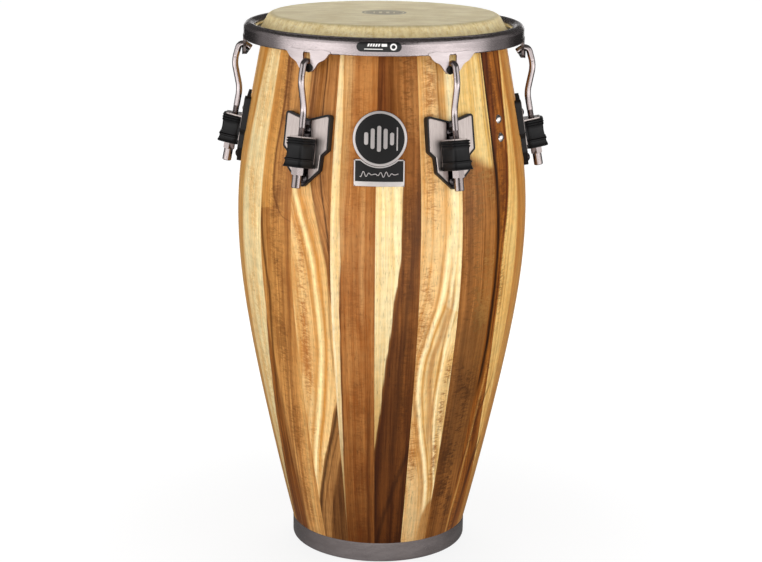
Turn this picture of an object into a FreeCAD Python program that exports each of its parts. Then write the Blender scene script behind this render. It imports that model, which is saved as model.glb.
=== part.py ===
import FreeCAD, Part
import math
import os

# A tumba-size conga drum: a staved wooden shell, a hide head on a flesh hoop, a rolled steel
# counter-hoop pulled down by six hooked tension rods, and six winged lugs bolted to the shell.
# Millimetres, +Z up, origin at the centre of the foot, on the floor. The badge faces -Y.
# Azimuth is measured in degrees from -Y towards +X, and "r" is the distance from the drum's axis.

Vector = FreeCAD.Vector
PARTS = "parts"

# ---------------------------------------------------------------- driving dimensions

HEIGHT = 762.0                 # floor to the playing surface
CLEAR = 0.3                    # gap left where a soft or curved piece lies against another

# Shell: outer radius at each height, a smooth barrel curve that is widest at the belly
WALL = 11.0
FOOT_Z = 8.0
REBATE_Z = 29.5                # the bottom band sits in a rebate below this height
SHELL_SIDE = [(125.4, REBATE_Z), (142.2, 100.0), (160.0, 180.0), (176.5, 260.0), (190.6, 340.0),
              (200.3, 420.0), (202.8, 480.0), (200.2, 540.0), (192.2, 600.0), (181.2, 660.0),
              (169.8, 720.0), (164.7, 746.0)]
BEVEL_TOP = (158.8, 755.2)     # the bearing edge slopes up to here, then rounds over
BEARING_CREST_R = 152.5
BEARING_ROUND = (4.2, 1.5)     # the rounding passes this far out from the crest, and this far down
BEARING_INNER = (149.0, 756.5)

# Staves, all equally wide
STAVES = 21
FIRST_SEAM = -1.3

# Foot
BAND_R = 125.3
BAND_TOP = 29.3
BAND_T = 1.6
BAND_LIP_R = 118.8
BAND_CORNER = 4.0
BAND_LIFT = 0.6                # the rubber ring stands this much below the band
RUBBER_R = (110.0, 118.5)
RUBBER_BEVEL = 1.0
RUBBER_GAP = 0.2

# Head: the outer line of the hide, its thickness, and the flesh hoop it is wrapped round
HIDE = 2.0
FOLD_R = 157.5                 # where the flat top would meet the collar
FOLD_ROUND = 10.2
HOOP_R = (174.6, 181.4)
HOOP_Z = (734.6, 740.6)
HOOP_ROUND = 1.5
WRAP_ROUND = 1.8

# Counter-hoop: a sheet with its top edge rolled inwards in a half circle
RIM_R = 193.4
RIM_T = 2.8
RIM_BOTTOM = 727.0
ROLL_R = 8.0
ROLL_Z = 742.0
ROLL_SWEEP = 165.0
RIM_FOOT_ROUND = 1.2

# The lug to the right of the badge stands slightly nearer to it than an even spacing
LUG_AZIMUTHS = [28.5, 90.0, 150.0, 210.0, 270.0, 330.0]

# Rim tabs: right half of the outline, distance across and height, from the rim down
TAB_R = (190.6, 194.0)
TAB_HALF = [(32.0, RIM_BOTTOM), (29.6, 723.5), (27.0, 720.6), (24.0, 718.6), (19.0, 716.2),
            (16.4, 714.2), (14.2, 710.8), (11.8, 707.2), (8.8, 704.2), (5.0, 702.6)]
LEDGE_R = 194.3                # a thin lip of the tab is welded over the rim's outer face
LEDGE_HALF = [(0.0, 731.6), (12.0, 731.2), (25.0, 732.2), (34.0, 730.4), (35.0, 728.4)]
SLOT_HALF = 5.7
SLOT_TOP = 730.4
SLOT_BOTTOM = 706.6

# Slot liners: right half of the flange that shows, and the sloping seat just under the hook (r, z)
LINER_HALF = [(0.0, 711.2), (4.0, 711.6), (4.9, 714.2), (5.5, 714.2), (7.6, 711.4), (9.2, 708.6),
              (8.9, 705.8), (6.6, 703.0), (4.2, 702.2), (1.6, 703.2)]
LINER_FLANGE = 1.5
LINER_SEAT = [(186.8, 706.6), (194.2, 711.3)]
LINER_WEDGE = 3.7
LINER_WEDGE_HALF = 8.0
LINER_WEDGE_LOW = 703.0
LINER_WEDGE_TOE = 1.0
LINER_FIT = 0.1

# Tension rods: corners of the centre line in the radial plane (r, z) with their bend radii
ROD_D = 8.8
ROD_TILT = 10.8                # the threaded leg leans outwards by this angle
ROD_R_AT_LUG = 210.35
LUG_Z = 600.0
ROD_CORNERS = [(183.75, 710.7, 0.0), (198.8, 720.5, 7.2), (207.2, 692.5, 42.0), (200.0, 654.3, 46.0)]
ROD_END = -44.0                # all heights on the rod's own axis are from the lug station up
ROD_TIP_CHAMFER = 0.8
THREAD_FIT = 0.06              # radial clearance of a rod in its nut
GUIDE_FIT = 0.3                # radial clearance of a rod in its lug

# Tuning nuts, on the rod's axis
NUT_TOP = -15.4
NUT_HEX_END = -31.0
NUT_END = -48.2
NUT_AF = 15.2
NUT_BARREL_D = 12.6
NUT_CHAMFER = 0.8

# Lugs: a plate that leans with the shell, and a receiver block round the rod
PLATE_R_AT_LUG = 198.1
PLATE_LEAN = 9.3
PLATE_T = 2.5
PLATE_HALF = [(0.0, 38.0), (32.0, 47.5), (32.7, 3.5), (24.3, -4.5), (23.0, -24.5), (0.0, -46.5)]
PLATE_CORNER = 2.0
PLATE_EDGE = 0.7               # chamfer round the plate's face
CHANNEL_HALF = (6.5, 10.5)     # half width of the sunk channel at the top and at the tip
CHANNEL_DEPTH = 0.9
BLOCK_BACK = 1.4               # the receiver block stops this far behind the plate's face
GASKET_MARGIN = 2.4
GASKET_LIP = 0.6               # the gasket's edge stops this far below the plate's face
GASKET_BACK = 16.0             # deeper than the shell's side anywhere behind the plate
GASKET_FIT = (0.1, 0.02)       # gap at the plate's edge, and behind it
RECEIVER_HALF = (9.7, 16.6)    # half width of the block at its outer and inner side
RECEIVER_OUT = 12.2
RECEIVER_IN = 13.6
RECEIVER_CORNER = 3.0
RECEIVER_V = (-15.0, 19.7)

# Rubber sleeves: section half widths, then (height on the rod's axis, swelling) from the top down
SLEEVE_HALF = (12.4, 18.8)
SLEEVE_OUT = 15.4
SLEEVE_IN = 10.6
SLEEVE_CORNER = 4.0
SLEEVE_FIT = 0.15
SLEEVE_STATIONS = [(18.0, -0.8), (16.6, 0.3), (15.1, -0.6), (12.0, -0.5), (10.0, 1.4), (8.1, -0.3),
                   (-9.2, 0.3), (-10.8, 1.8), (-12.3, 0.5), (-15.6, 0.9), (-18.9, 2.8), (-20.8, 2.5)]

# Bolts: domed head, shank, and a washer and nut inside the shell
BOLT_V = (27.3, -37.0)         # up the plate, from the lug station
BOLT_D = 6.0
BOLT_HEAD_D = 12.6
BOLT_HEAD_H = 3.8
HOLE_CLEAR = 0.25
NUT_CLEAR = 0.05
WASHER_D = 18.0
WASHER_T = 1.5
WASHER_SEAT = 0.35             # a flat washer touches a round wall only at its rim
INNER_NUT_AF = 10.0
INNER_NUT_T = 5.0
BOLT_TAIL = 1.6                # thread showing past the inner nut

SIDE_BOLT_AZIMUTH = 57.2
SIDE_BOLT_Z = (633.0, 608.6)
SIDE_BOLT_GAP = 0.1

# Marks on the front
BADGE_AZIMUTH = -0.1
BADGE_Z = 619.7
BADGE_D = 71.0
BADGE_T = 1.2
NAME_PLATE_AZIMUTH = -0.2
NAME_PLATE_Z = (558.4, 593.0)
NAME_PLATE_W = 66.2
NAME_PLATE_CORNER = 2.0
NAME_PLATE_T = 1.0
MARK_GAP = 0.15
MARK_STEPS = 6                 # steps in height that the marks' curve is drawn through
LABEL_AZIMUTH = -0.8
LABEL_W = 58.2
LABEL_Z = (733.0, 745.4)
LABEL_T = 0.8
LABEL_GAP = 0.1
LABEL_WRAP = 40.0              # the label's skin is drawn this far round the roll, in degrees

FAR = 300.0                    # longer than any radius of the drum
OVERCUT = 1.0                  # cutting shapes reach this far past what they cut

# ---------------------------------------------------------------- helpers


def radial(r, z, t=0.0):
    """A point in the plane through the axis that faces -Y, shifted across by t."""
    return Vector(t, -r, z)


def turned(shape, azimuth):
    """A copy of a shape built facing -Y, turned about the drum's axis to an azimuth."""
    copy = shape.copy()
    copy.rotate(Vector(0, 0, 0), Vector(0, 0, 1), azimuth)
    return copy


def at_lugs(shape):
    return [turned(shape, azimuth) for azimuth in LUG_AZIMUTHS]


def polygon_face(points):
    return Part.Face(Part.makePolygon(points + [points[0]]))


def chain_face(curves):
    """A face inside a closed chain of lines, arcs and curves."""
    edges = [curve.toShape() for curve in curves]
    return Part.Face(Part.Wire(edges))


def revolved(face, start=0.0, sweep=360.0):
    """Turn a face drawn in the -Y plane about the drum's axis."""
    solid = face.revolve(Vector(0, 0, 0), Vector(0, 0, 1), sweep)
    return turned(solid, start)


def front_third(face):
    """A third of the ring swept by a face, centred on the front."""
    return revolved(face, -60.0, 120.0)


def bend(before, corner, after, radius):
    """Start, middle and end of the arc that rounds a corner."""
    back = (before - corner).normalize()
    ahead = (after - corner).normalize()
    half_angle = back.getAngle(ahead) / 2
    run = radius / math.tan(half_angle)
    depth = radius / math.sin(half_angle) - radius
    return corner + back * run, corner + (back + ahead).normalize() * depth, corner + ahead * run


def bent_path(points, radii):
    """An open wire through points, with an arc of its own radius at each inner corner."""
    edges = []
    last = points[0]
    for i in range(1, len(points) - 1):
        start, middle, end = bend(points[i - 1], points[i], points[i + 1], radii[i])
        edges.append(Part.LineSegment(last, start).toShape())
        edges.append(Part.Arc(start, middle, end).toShape())
        last = end
    edges.append(Part.LineSegment(last, points[-1]).toShape())
    return Part.Wire(edges)


def rounded_outline(points, radius):
    """A closed wire through points with every corner rounded."""
    count = len(points)
    bends = [bend(points[i - 1], points[i], points[(i + 1) % count], radius) for i in range(count)]
    edges = []
    for i in range(count):
        start, middle, end = bends[i]
        edges.append(Part.Arc(start, middle, end).toShape())
        edges.append(Part.LineSegment(end, bends[(i + 1) % count][0]).toShape())
    return Part.Wire(edges)


def mirrored(half):
    """A closed outline from its right half, as (across, up) pairs from the top down."""
    return half + [(-u, v) for u, v in reversed(half) if u > 0.0]


def leaning_frame(lean, r_at_lug):
    """Local frame of a line that leans at the lug: X across, Y up the lean, Z outwards."""
    return FreeCAD.Placement(radial(r_at_lug, LUG_Z), FreeCAD.Rotation(Vector(1, 0, 0), 90.0 - lean))


PLATE_FRAME = leaning_frame(PLATE_LEAN, PLATE_R_AT_LUG)
ROD_FRAME = leaning_frame(ROD_TILT, ROD_R_AT_LUG)


def placed(shape, frame):
    copy = shape.copy()
    copy.Placement = frame
    return copy


def prism(wire, depth):
    return Part.Face(wire).extrude(Vector(0, 0, depth))


def local_outline(pairs, w):
    return [Vector(u, v, w) for u, v in pairs]


def local_cylinder(radius, low, high):
    """A cylinder along the local Y, which is the rod's own axis."""
    return Part.makeCylinder(radius, high - low, Vector(0, low, 0), Vector(0, 1, 0))


def local_hexagon(across_flats, low, high, axis):
    """A hexagonal prism along the local Y or Z axis."""
    corner_r = across_flats / math.sqrt(3.0)
    points = []
    for i in range(6):
        angle = math.radians(60.0 * i)
        a, b = corner_r * math.cos(angle), corner_r * math.sin(angle)
        points.append(Vector(a, low, b) if axis.y else Vector(a, b, low))
    return polygon_face(points).extrude(axis * (high - low))


def front_prism(pairs):
    """A prism towards -Y on an (across, height) outline, through any surface on the front."""
    face = polygon_face([Vector(u, 0, z) for u, z in pairs])
    return face.extrude(Vector(0, -FAR, 0))


def export(name, shape):
    shape.exportStep(os.path.join(PARTS, name + ".step"))
    box = shape.BoundBox
    sound = all(solid.isValid() for solid in shape.Solids)
    print("%-15s %3d solids %s %10.0f mm3  z %6.1f to %6.1f  r to %6.1f"
          % (name, len(shape.Solids), "sound" if sound else "UNSOUND", shape.Volume,
             box.ZMin, box.ZMax, max(box.XMax, box.YMax, -box.YMin)))


# ---------------------------------------------------------------- shell


def side_curve(offset):
    """The barrel curve of the shell's side, moved outwards by an offset."""
    curve = Part.BSplineCurve()
    curve.interpolate([radial(r + offset, z) for r, z in SHELL_SIDE])
    return curve


def side_radius(z):
    """Outer radius of the shell at a height."""
    level = Part.LineSegment(radial(100.0, z), radial(FAR, z)).toShape()
    side = side_curve(0.0).toShape()
    return -level.distToShape(side)[1][0][1].y


def stave_face():
    """Section of a stave: barrel sides, a bevelled bearing edge, and the rebate for the band."""
    rebate_r = BAND_R - BAND_T - CLEAR
    crest = radial(BEARING_CREST_R, HEIGHT - HIDE - CLEAR)
    bevel = radial(*BEVEL_TOP)
    inner_lip = radial(*BEARING_INNER)
    foot_in = radial(rebate_r - WALL, FOOT_Z)
    foot_out = radial(rebate_r, FOOT_Z)
    rebate = radial(rebate_r, REBATE_Z)
    side_top = radial(*SHELL_SIDE[-1])
    bore = [radial(r - WALL, z) for r, z in SHELL_SIDE[1:]]
    inner = Part.BSplineCurve()
    inner.interpolate([foot_in] + bore)
    round_over = crest + radial(BEARING_ROUND[0], -BEARING_ROUND[1])
    return chain_face([
        Part.LineSegment(foot_in, foot_out),
        Part.LineSegment(foot_out, rebate),
        Part.LineSegment(rebate, radial(*SHELL_SIDE[0])),
        side_curve(0.0),
        Part.LineSegment(side_top, bevel),
        Part.Arc(bevel, round_over, crest),
        Part.LineSegment(crest, inner_lip),
        Part.LineSegment(inner_lip, bore[-1]),
        inner,
    ])


def shell_envelope(offset):
    """Solid of revolution filled up to the shell's side, moved outwards by an offset."""
    first = radial(SHELL_SIDE[0][0] + offset, SHELL_SIDE[0][1])
    last = radial(SHELL_SIDE[-1][0] + offset, SHELL_SIDE[-1][1])
    return revolved(chain_face([
        Part.LineSegment(radial(0.0, first.z), first),
        side_curve(offset),
        Part.LineSegment(last, radial(0.0, last.z)),
        Part.LineSegment(radial(0.0, last.z), radial(0.0, first.z)),
    ]))


def make_staves(holes):
    face = stave_face()
    width = 360.0 / STAVES
    for i in range(STAVES):
        stave = revolved(face, FIRST_SEAM + i * width, width)
        near = [hole for hole in holes if hole.BoundBox.intersect(stave.BoundBox)]
        export("stave_%02d" % (i + 1), stave.cut(near) if near else stave)


# ---------------------------------------------------------------- foot


def make_foot():
    low = BAND_LIFT
    inner_r = BAND_R - BAND_T
    outer_bend = bend(radial(BAND_R, BAND_TOP), radial(BAND_R, low), radial(BAND_LIP_R, low), BAND_CORNER)
    inner_bend = bend(radial(BAND_LIP_R, low + BAND_T), radial(inner_r, low + BAND_T),
                      radial(inner_r, BAND_TOP), BAND_CORNER - BAND_T)
    band = chain_face([
        Part.LineSegment(radial(BAND_R, BAND_TOP), outer_bend[0]),
        Part.Arc(*outer_bend),
        Part.LineSegment(outer_bend[2], radial(BAND_LIP_R, low)),
        Part.LineSegment(radial(BAND_LIP_R, low), radial(BAND_LIP_R, low + BAND_T)),
        Part.LineSegment(radial(BAND_LIP_R, low + BAND_T), inner_bend[0]),
        Part.Arc(*inner_bend),
        Part.LineSegment(inner_bend[2], radial(inner_r, BAND_TOP)),
        Part.LineSegment(radial(inner_r, BAND_TOP), radial(BAND_R, BAND_TOP)),
    ])
    export("bottom_band", revolved(band))
    shelf_z = low + BAND_T + RUBBER_GAP
    corner_room = BAND_CORNER - BAND_T
    ring_top = FOOT_Z - RUBBER_GAP
    ring = polygon_face([
        radial(RUBBER_R[0], RUBBER_BEVEL), radial(RUBBER_R[0] + RUBBER_BEVEL, 0.0), radial(RUBBER_R[1], 0.0),
        radial(RUBBER_R[1], shelf_z), radial(inner_r - corner_room, shelf_z),
        radial(inner_r - CLEAR, shelf_z + corner_room), radial(inner_r - CLEAR, ring_top),
        radial(RUBBER_R[0], ring_top),
    ])
    export("foot_ring", revolved(ring))


# ---------------------------------------------------------------- head


def make_head():
    middle_z = HEIGHT - HIDE / 2
    reach = HIDE / 2 + CLEAR
    inner_r, outer_r = HOOP_R[0] - reach, HOOP_R[1] + reach
    low_z, high_z = HOOP_Z[0] - reach, HOOP_Z[1] + reach
    path = bent_path(
        [radial(0.0, middle_z), radial(FOLD_R, middle_z), radial(inner_r, low_z), radial(outer_r, low_z),
         radial(outer_r, high_z), radial(inner_r + WRAP_ROUND, high_z)],
        [0.0, FOLD_ROUND, WRAP_ROUND, WRAP_ROUND, WRAP_ROUND, 0.0])
    upper = path.makeOffset2D(HIDE / 2, 0, False, True)
    lower = path.makeOffset2D(-HIDE / 2, 0, False, True)
    face = Part.Face(Part.Wire(Part.__sortEdges__(
        upper.Edges + lower.Edges + end_caps(upper, lower))))
    export("drumhead", revolved(face))
    corners = [radial(HOOP_R[0], HOOP_Z[0]), radial(HOOP_R[1], HOOP_Z[0]),
               radial(HOOP_R[1], HOOP_Z[1]), radial(HOOP_R[0], HOOP_Z[1])]
    export("flesh_hoop", revolved(Part.Face(rounded_outline(corners, HOOP_ROUND))))


def end_caps(first, second):
    """Lines that join the ends of two open wires."""
    a, b = first.OrderedVertexes, second.OrderedVertexes
    pairs = [(a[0].Point, b[0].Point), (a[-1].Point, b[-1].Point)]
    if (pairs[0][0] - pairs[0][1]).Length > (a[0].Point - b[-1].Point).Length:
        pairs = [(a[0].Point, b[-1].Point), (a[-1].Point, b[0].Point)]
    return [Part.LineSegment(p, q).toShape() for p, q in pairs]


# ---------------------------------------------------------------- counter-hoop


def roll_point(radius, angle):
    """A point on the rim's roll, at an angle from the outside over the top."""
    a = math.radians(angle)
    return radial(RIM_R - ROLL_R + radius * math.cos(a), ROLL_Z + radius * math.sin(a))


def rim_face():
    """Section of the rim: an upright wall whose top edge is rolled inwards."""
    inner = ROLL_R - RIM_T
    foot_outer = bend(radial(RIM_R, ROLL_Z), radial(RIM_R, RIM_BOTTOM),
                      radial(RIM_R - RIM_T, RIM_BOTTOM), RIM_FOOT_ROUND)
    foot_inner = radial(RIM_R - RIM_T, RIM_BOTTOM)
    return chain_face([
        Part.LineSegment(roll_point(ROLL_R, 0.0), foot_outer[0]),
        Part.Arc(*foot_outer),
        Part.LineSegment(foot_outer[2], foot_inner),
        Part.LineSegment(foot_inner, roll_point(inner, 0.0)),
        Part.Arc(roll_point(inner, 0.0), roll_point(inner, ROLL_SWEEP / 2), roll_point(inner, ROLL_SWEEP)),
        Part.LineSegment(roll_point(inner, ROLL_SWEEP), roll_point(ROLL_R, ROLL_SWEEP)),
        Part.Arc(roll_point(ROLL_R, ROLL_SWEEP), roll_point(ROLL_R, ROLL_SWEEP / 2), roll_point(ROLL_R, 0.0)),
    ])


def ring_blank(inner_r, outer_r, low, high):
    """A third of a flat ring that faces -Y, to cut curved plates from."""
    corners = [radial(inner_r, low), radial(outer_r, low), radial(outer_r, high), radial(inner_r, high)]
    return front_third(polygon_face(corners))


def slot_outline(half, top, bottom):
    """An upright slot with a round top, as (across, height) pairs."""
    arc = [(half * math.cos(math.radians(a)), top - half + half * math.sin(math.radians(a)))
           for a in range(0, 181, 15)]
    return [(half, bottom)] + arc + [(-half, bottom)]


def tab_solid():
    """One tab: a curved plate below the rim, with a thin lip over the rim's outer face."""
    low = TAB_HALF[-1][1]
    plate = ring_blank(TAB_R[0], TAB_R[1], low, RIM_BOTTOM).common(front_prism(mirrored(TAB_HALF)))
    lip_outline = mirrored(LEDGE_HALF + TAB_HALF[:2])
    lip = ring_blank(RIM_R, LEDGE_R, TAB_HALF[1][1], LEDGE_HALF[2][1]).common(front_prism(lip_outline))
    slot = front_prism(slot_outline(SLOT_HALF, SLOT_TOP, SLOT_BOTTOM))
    return plate.fuse(lip).cut(slot).removeSplitter()


def seat_point(r):
    """A point of the liner's sloping seat."""
    (r_in, z_in), (r_out, z_out) = LINER_SEAT
    return radial(r, z_in + (z_out - z_in) * (r - r_in) / (r_out - r_in))


def liner_slab(points, half):
    """A slab swept from a section in the -Y plane, kept within half of the middle."""
    low, high = LINER_WEDGE_LOW - OVERCUT, RIM_BOTTOM
    window = front_prism([(-half, low), (half, low), (half, high), (-half, high)])
    return front_third(polygon_face(points)).common(window)


def liner_solid():
    """One slot liner: a flange outside, a saddle through the slot and a wedge inside."""
    outer, inner = LEDGE_R + LINER_FIT / 2, TAB_R[0] - LINER_FIT
    heights = [z for u, z in LINER_HALF]
    flange = ring_blank(outer, outer + LINER_FLANGE, min(heights), max(heights))
    flange = flange.common(front_prism(mirrored(LINER_HALF)))
    base = SLOT_BOTTOM + LINER_FIT
    saddle_end = outer + LINER_FLANGE / 2
    saddle = liner_slab([
        radial(inner, base), radial(saddle_end, base), radial(saddle_end, LINER_SEAT[1][1]),
        radial(*LINER_SEAT[1]), seat_point(inner)], SLOT_HALF - LINER_FIT)
    wedge = liner_slab([
        radial(inner, LINER_WEDGE_LOW), seat_point(inner), seat_point(inner - LINER_WEDGE),
        radial(inner - LINER_WEDGE_TOE, LINER_WEDGE_LOW)], LINER_WEDGE_HALF)
    return flange.fuse([saddle, wedge]).removeSplitter()


def make_rim():
    export("rim", revolved(rim_face()))
    export("rim_tabs", Part.makeCompound(at_lugs(tab_solid())))
    export("slot_liners", Part.makeCompound(at_lugs(liner_solid())))
    export("rim_label", turned(label_solid(), LABEL_AZIMUTH))


def label_solid():
    """A thin pill that follows the rim's outer face and the start of its roll."""
    half, middle = (LABEL_Z[1] - LABEL_Z[0]) / 2, sum(LABEL_Z) / 2
    straight = LABEL_W / 2 - half
    right = [(straight + half * math.cos(math.radians(a)), middle + half * math.sin(math.radians(a)))
             for a in range(90, -91, -10)]
    left = [(-u, z) for u, z in reversed(right)]
    near, far = ROLL_R + LABEL_GAP, ROLL_R + LABEL_GAP + LABEL_T
    base = LABEL_Z[0] - OVERCUT
    centre_r = RIM_R - ROLL_R
    sheet = chain_face([
        Part.LineSegment(radial(centre_r + near, base), radial(centre_r + far, base)),
        Part.LineSegment(radial(centre_r + far, base), roll_point(far, 0.0)),
        Part.Arc(roll_point(far, 0.0), roll_point(far, LABEL_WRAP / 2), roll_point(far, LABEL_WRAP)),
        Part.LineSegment(roll_point(far, LABEL_WRAP), roll_point(near, LABEL_WRAP)),
        Part.Arc(roll_point(near, LABEL_WRAP), roll_point(near, LABEL_WRAP / 2), roll_point(near, 0.0)),
        Part.LineSegment(roll_point(near, 0.0), radial(centre_r + near, base)),
    ])
    return front_third(sheet).common(front_prism(right + left))


# ---------------------------------------------------------------- rods and nuts


def rod_axis_point(v):
    """A point on the rod's axis at a height along it from the lug station."""
    return ROD_FRAME.multVec(Vector(0, v, 0))


def rod_solid():
    points = [radial(r, z) for r, z, bend_r in ROD_CORNERS] + [rod_axis_point(ROD_END)]
    radii = [bend_r for r, z, bend_r in ROD_CORNERS] + [0.0]
    path = bent_path(points, radii)
    start = points[0]
    direction = (points[1] - points[0]).normalize()
    section = Part.Wire(Part.makeCircle(ROD_D / 2, start, direction))
    rod = path.makePipeShell([section], True, True)
    ends = [edge for edge in rod.Edges
            if (edge.CenterOfMass - start).Length < 0.01 or (edge.CenterOfMass - points[-1]).Length < 0.01]
    return rod.makeChamfer(ROD_TIP_CHAMFER, ends)


def nut_solid():
    """A long nut: a hexagon with a round barrel below it, threaded right through."""
    hexagon = local_hexagon(NUT_AF, NUT_HEX_END, NUT_TOP, Vector(0, 1, 0))
    corner_r = NUT_AF / math.sqrt(3.0)
    trim = local_cylinder(corner_r, NUT_HEX_END, NUT_TOP)
    trim = trim.makeChamfer(NUT_CHAMFER, [edge for edge in trim.Edges if edge.Closed])
    barrel = local_cylinder(NUT_BARREL_D / 2, NUT_END, NUT_HEX_END)
    low_edge = [edge for edge in barrel.Edges if edge.Closed and edge.CenterOfMass.y < NUT_END + 0.1]
    barrel = barrel.makeChamfer(NUT_CHAMFER, low_edge)
    bore = local_cylinder(ROD_D / 2 + THREAD_FIT, NUT_END - OVERCUT, NUT_TOP + OVERCUT)
    return placed(hexagon.common(trim).fuse(barrel).cut(bore), ROD_FRAME)


# ---------------------------------------------------------------- lugs


def grown(half, margin):
    """The plate's outline pushed out evenly by a margin."""
    wire = Part.makePolygon(local_outline(mirrored(half) + [half[0]], 0.0))
    return wire.makeOffset2D(margin, 2, False, False) if margin else wire


def plate_prism(margin, low, high, corner):
    """A prism on the grown plate outline with its upright edges rounded."""
    outline = grown(PLATE_HALF, margin)
    outline.translate(Vector(0, 0, low))
    solid = prism(outline, high - low)
    upright = [edge for edge in solid.Edges if abs(edge.tangentAt(edge.FirstParameter).z) > 0.99]
    return solid.makeFillet(corner, upright)


def trapezoid(half_out, half_in, out, inn, v, swell):
    """Corners of the block section across the rod's axis, at a height along it."""
    return [Vector(half_in + swell, v, -inn), Vector(half_out + swell, v, out + swell),
            Vector(-half_out - swell, v, out + swell), Vector(-half_in - swell, v, -inn)]


def receiver_block(swell, low, high):
    face = polygon_face(trapezoid(RECEIVER_HALF[0], RECEIVER_HALF[1], RECEIVER_OUT, RECEIVER_IN, low, swell))
    block = face.extrude(Vector(0, high - low, 0))
    outer = [edge for edge in block.Edges
             if edge.CenterOfMass.z > RECEIVER_OUT - 0.1 and abs(edge.CenterOfMass.x) > 1.0]
    return placed(block.makeFillet(RECEIVER_CORNER, outer), ROD_FRAME)


def channel_wedge():
    """The shallow channel down the middle of the plate that the bolts stand in."""
    top, tip = CHANNEL_HALF
    high, low = PLATE_HALF[1][1], PLATE_HALF[-1][1]
    face = polygon_face(local_outline([(top, high), (-top, high), (-tip, low), (tip, low)], -CHANNEL_DEPTH))
    return face.extrude(Vector(0, 0, CHANNEL_DEPTH + OVERCUT))


def bolt_hole(frame, v):
    """A hole square to the frame, from just outside it to well inside the shell."""
    reach = WALL + GASKET_BACK
    hole = Part.makeCylinder(BOLT_D / 2 + HOLE_CLEAR, reach + OVERCUT, Vector(0, v, -reach))
    return placed(hole, frame)


def lug_solid(holes):
    plate = plate_prism(0.0, -PLATE_T, 0.0, PLATE_CORNER)
    plate = plate.makeChamfer(PLATE_EDGE, [edge for edge in plate.Edges if edge.BoundBox.ZMin > -PLATE_EDGE])
    plate = placed(plate.cut(channel_wedge()), PLATE_FRAME)
    low, high = RECEIVER_V
    bore = placed(local_cylinder(ROD_D / 2 + GUIDE_FIT, low - OVERCUT, high + OVERCUT), ROD_FRAME)
    block = receiver_block(0.0, low, high)
    behind = placed(Part.makeBox(2 * FAR, 2 * FAR, FAR, Vector(-FAR, -FAR, -FAR - BLOCK_BACK)), PLATE_FRAME)
    return plate.fuse(block.cut(behind)).cut([bore] + holes).removeSplitter()


def gasket_solid(holes):
    """A rubber tray round the plate's edge that fills the space down to the shell."""
    body = plate_prism(GASKET_MARGIN, -GASKET_BACK, -GASKET_LIP, PLATE_CORNER + GASKET_MARGIN)
    pocket = plate_prism(GASKET_FIT[0], -PLATE_T - GASKET_FIT[1], OVERCUT, PLATE_CORNER)
    tray = placed(body.cut(pocket), PLATE_FRAME)
    return tray.cut([shell_envelope(CLEAR / 2)] + holes)


def sleeve_solid():
    sections = []
    for v, swell in SLEEVE_STATIONS:
        corners = trapezoid(SLEEVE_HALF[0], SLEEVE_HALF[1], SLEEVE_OUT, SLEEVE_IN, v, swell)
        sections.append(rounded_outline(corners, SLEEVE_CORNER))
    body = placed(Part.makeLoft(sections, True, True), ROD_FRAME)
    hollow = receiver_block(SLEEVE_FIT, SLEEVE_STATIONS[-1][0] - OVERCUT, SLEEVE_STATIONS[0][0] + OVERCUT)
    return body.cut(hollow)


# ---------------------------------------------------------------- bolts


def wall_point(frame, v):
    """Where a bolt's axis meets the shell's outer side, as a distance along the axis."""
    ends = [frame.multVec(Vector(0, v, w)) for w in (GASKET_BACK, -GASKET_BACK)]
    line = Part.LineSegment(*ends).toShape()
    meeting = line.distToShape(side_curve(0.0).toShape())[1][0][0]
    return frame.inverse().multVec(meeting).z


def bolt_set(frame, v, head_w):
    """A bolt, washer and nut on the local Z axis at height v, its head resting at head_w."""
    centre = Vector(0, v, head_w)
    inside = wall_point(frame, v) - WALL - WASHER_SEAT
    nut_low = inside - WASHER_T - INNER_NUT_T
    sphere_r = (BOLT_HEAD_D ** 2 / 4 + BOLT_HEAD_H ** 2) / (2 * BOLT_HEAD_H)
    ball = Part.makeSphere(sphere_r, centre + Vector(0, 0, BOLT_HEAD_H - sphere_r))
    head = ball.common(Part.makeCylinder(BOLT_HEAD_D, BOLT_HEAD_H, centre))
    shank_low = nut_low - BOLT_TAIL
    shank = Part.makeCylinder(BOLT_D / 2, head_w - shank_low, Vector(0, v, shank_low))
    washer = Part.makeCylinder(WASHER_D / 2, WASHER_T, Vector(0, v, inside - WASHER_T))
    nut = local_hexagon(INNER_NUT_AF, nut_low, nut_low + INNER_NUT_T, Vector(0, 0, 1))
    nut.translate(Vector(0, v, 0))
    bore = Part.makeCylinder(BOLT_D / 2 + NUT_CLEAR, head_w - shank_low, Vector(0, v, shank_low))
    pieces = head.fuse(shank), washer.cut(bore), nut.cut(bore)
    return [placed(piece, frame) for piece in pieces]


def side_frame(z):
    """Frame on the shell's side at a height, its Z axis square to the surface."""
    run = BOLT_HEAD_D / 2
    lean = math.degrees(math.atan2(side_radius(z - run) - side_radius(z + run), 2 * run))
    return FreeCAD.Placement(radial(side_radius(z), z), FreeCAD.Rotation(Vector(1, 0, 0), 90.0 - lean))


def make_bolts():
    lug_sets = [bolt_set(PLATE_FRAME, v, -CHANNEL_DEPTH) for v in BOLT_V]
    side_sets = [bolt_set(side_frame(z), 0.0, SIDE_BOLT_GAP) for z in SIDE_BOLT_Z]
    at_lug = [[copy for pieces in lug_sets for copy in at_lugs(pieces[k])] for k in range(3)]
    at_side = [[turned(pieces[k], SIDE_BOLT_AZIMUTH) for pieces in side_sets] for k in range(3)]
    export("lug_bolts", Part.makeCompound(at_lug[0]))
    export("side_bolts", Part.makeCompound(at_side[0]))
    export("inner_washers", Part.makeCompound(at_lug[1] + at_side[1]))
    export("inner_nuts", Part.makeCompound(at_lug[2] + at_side[2]))


# ---------------------------------------------------------------- marks on the front


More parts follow.
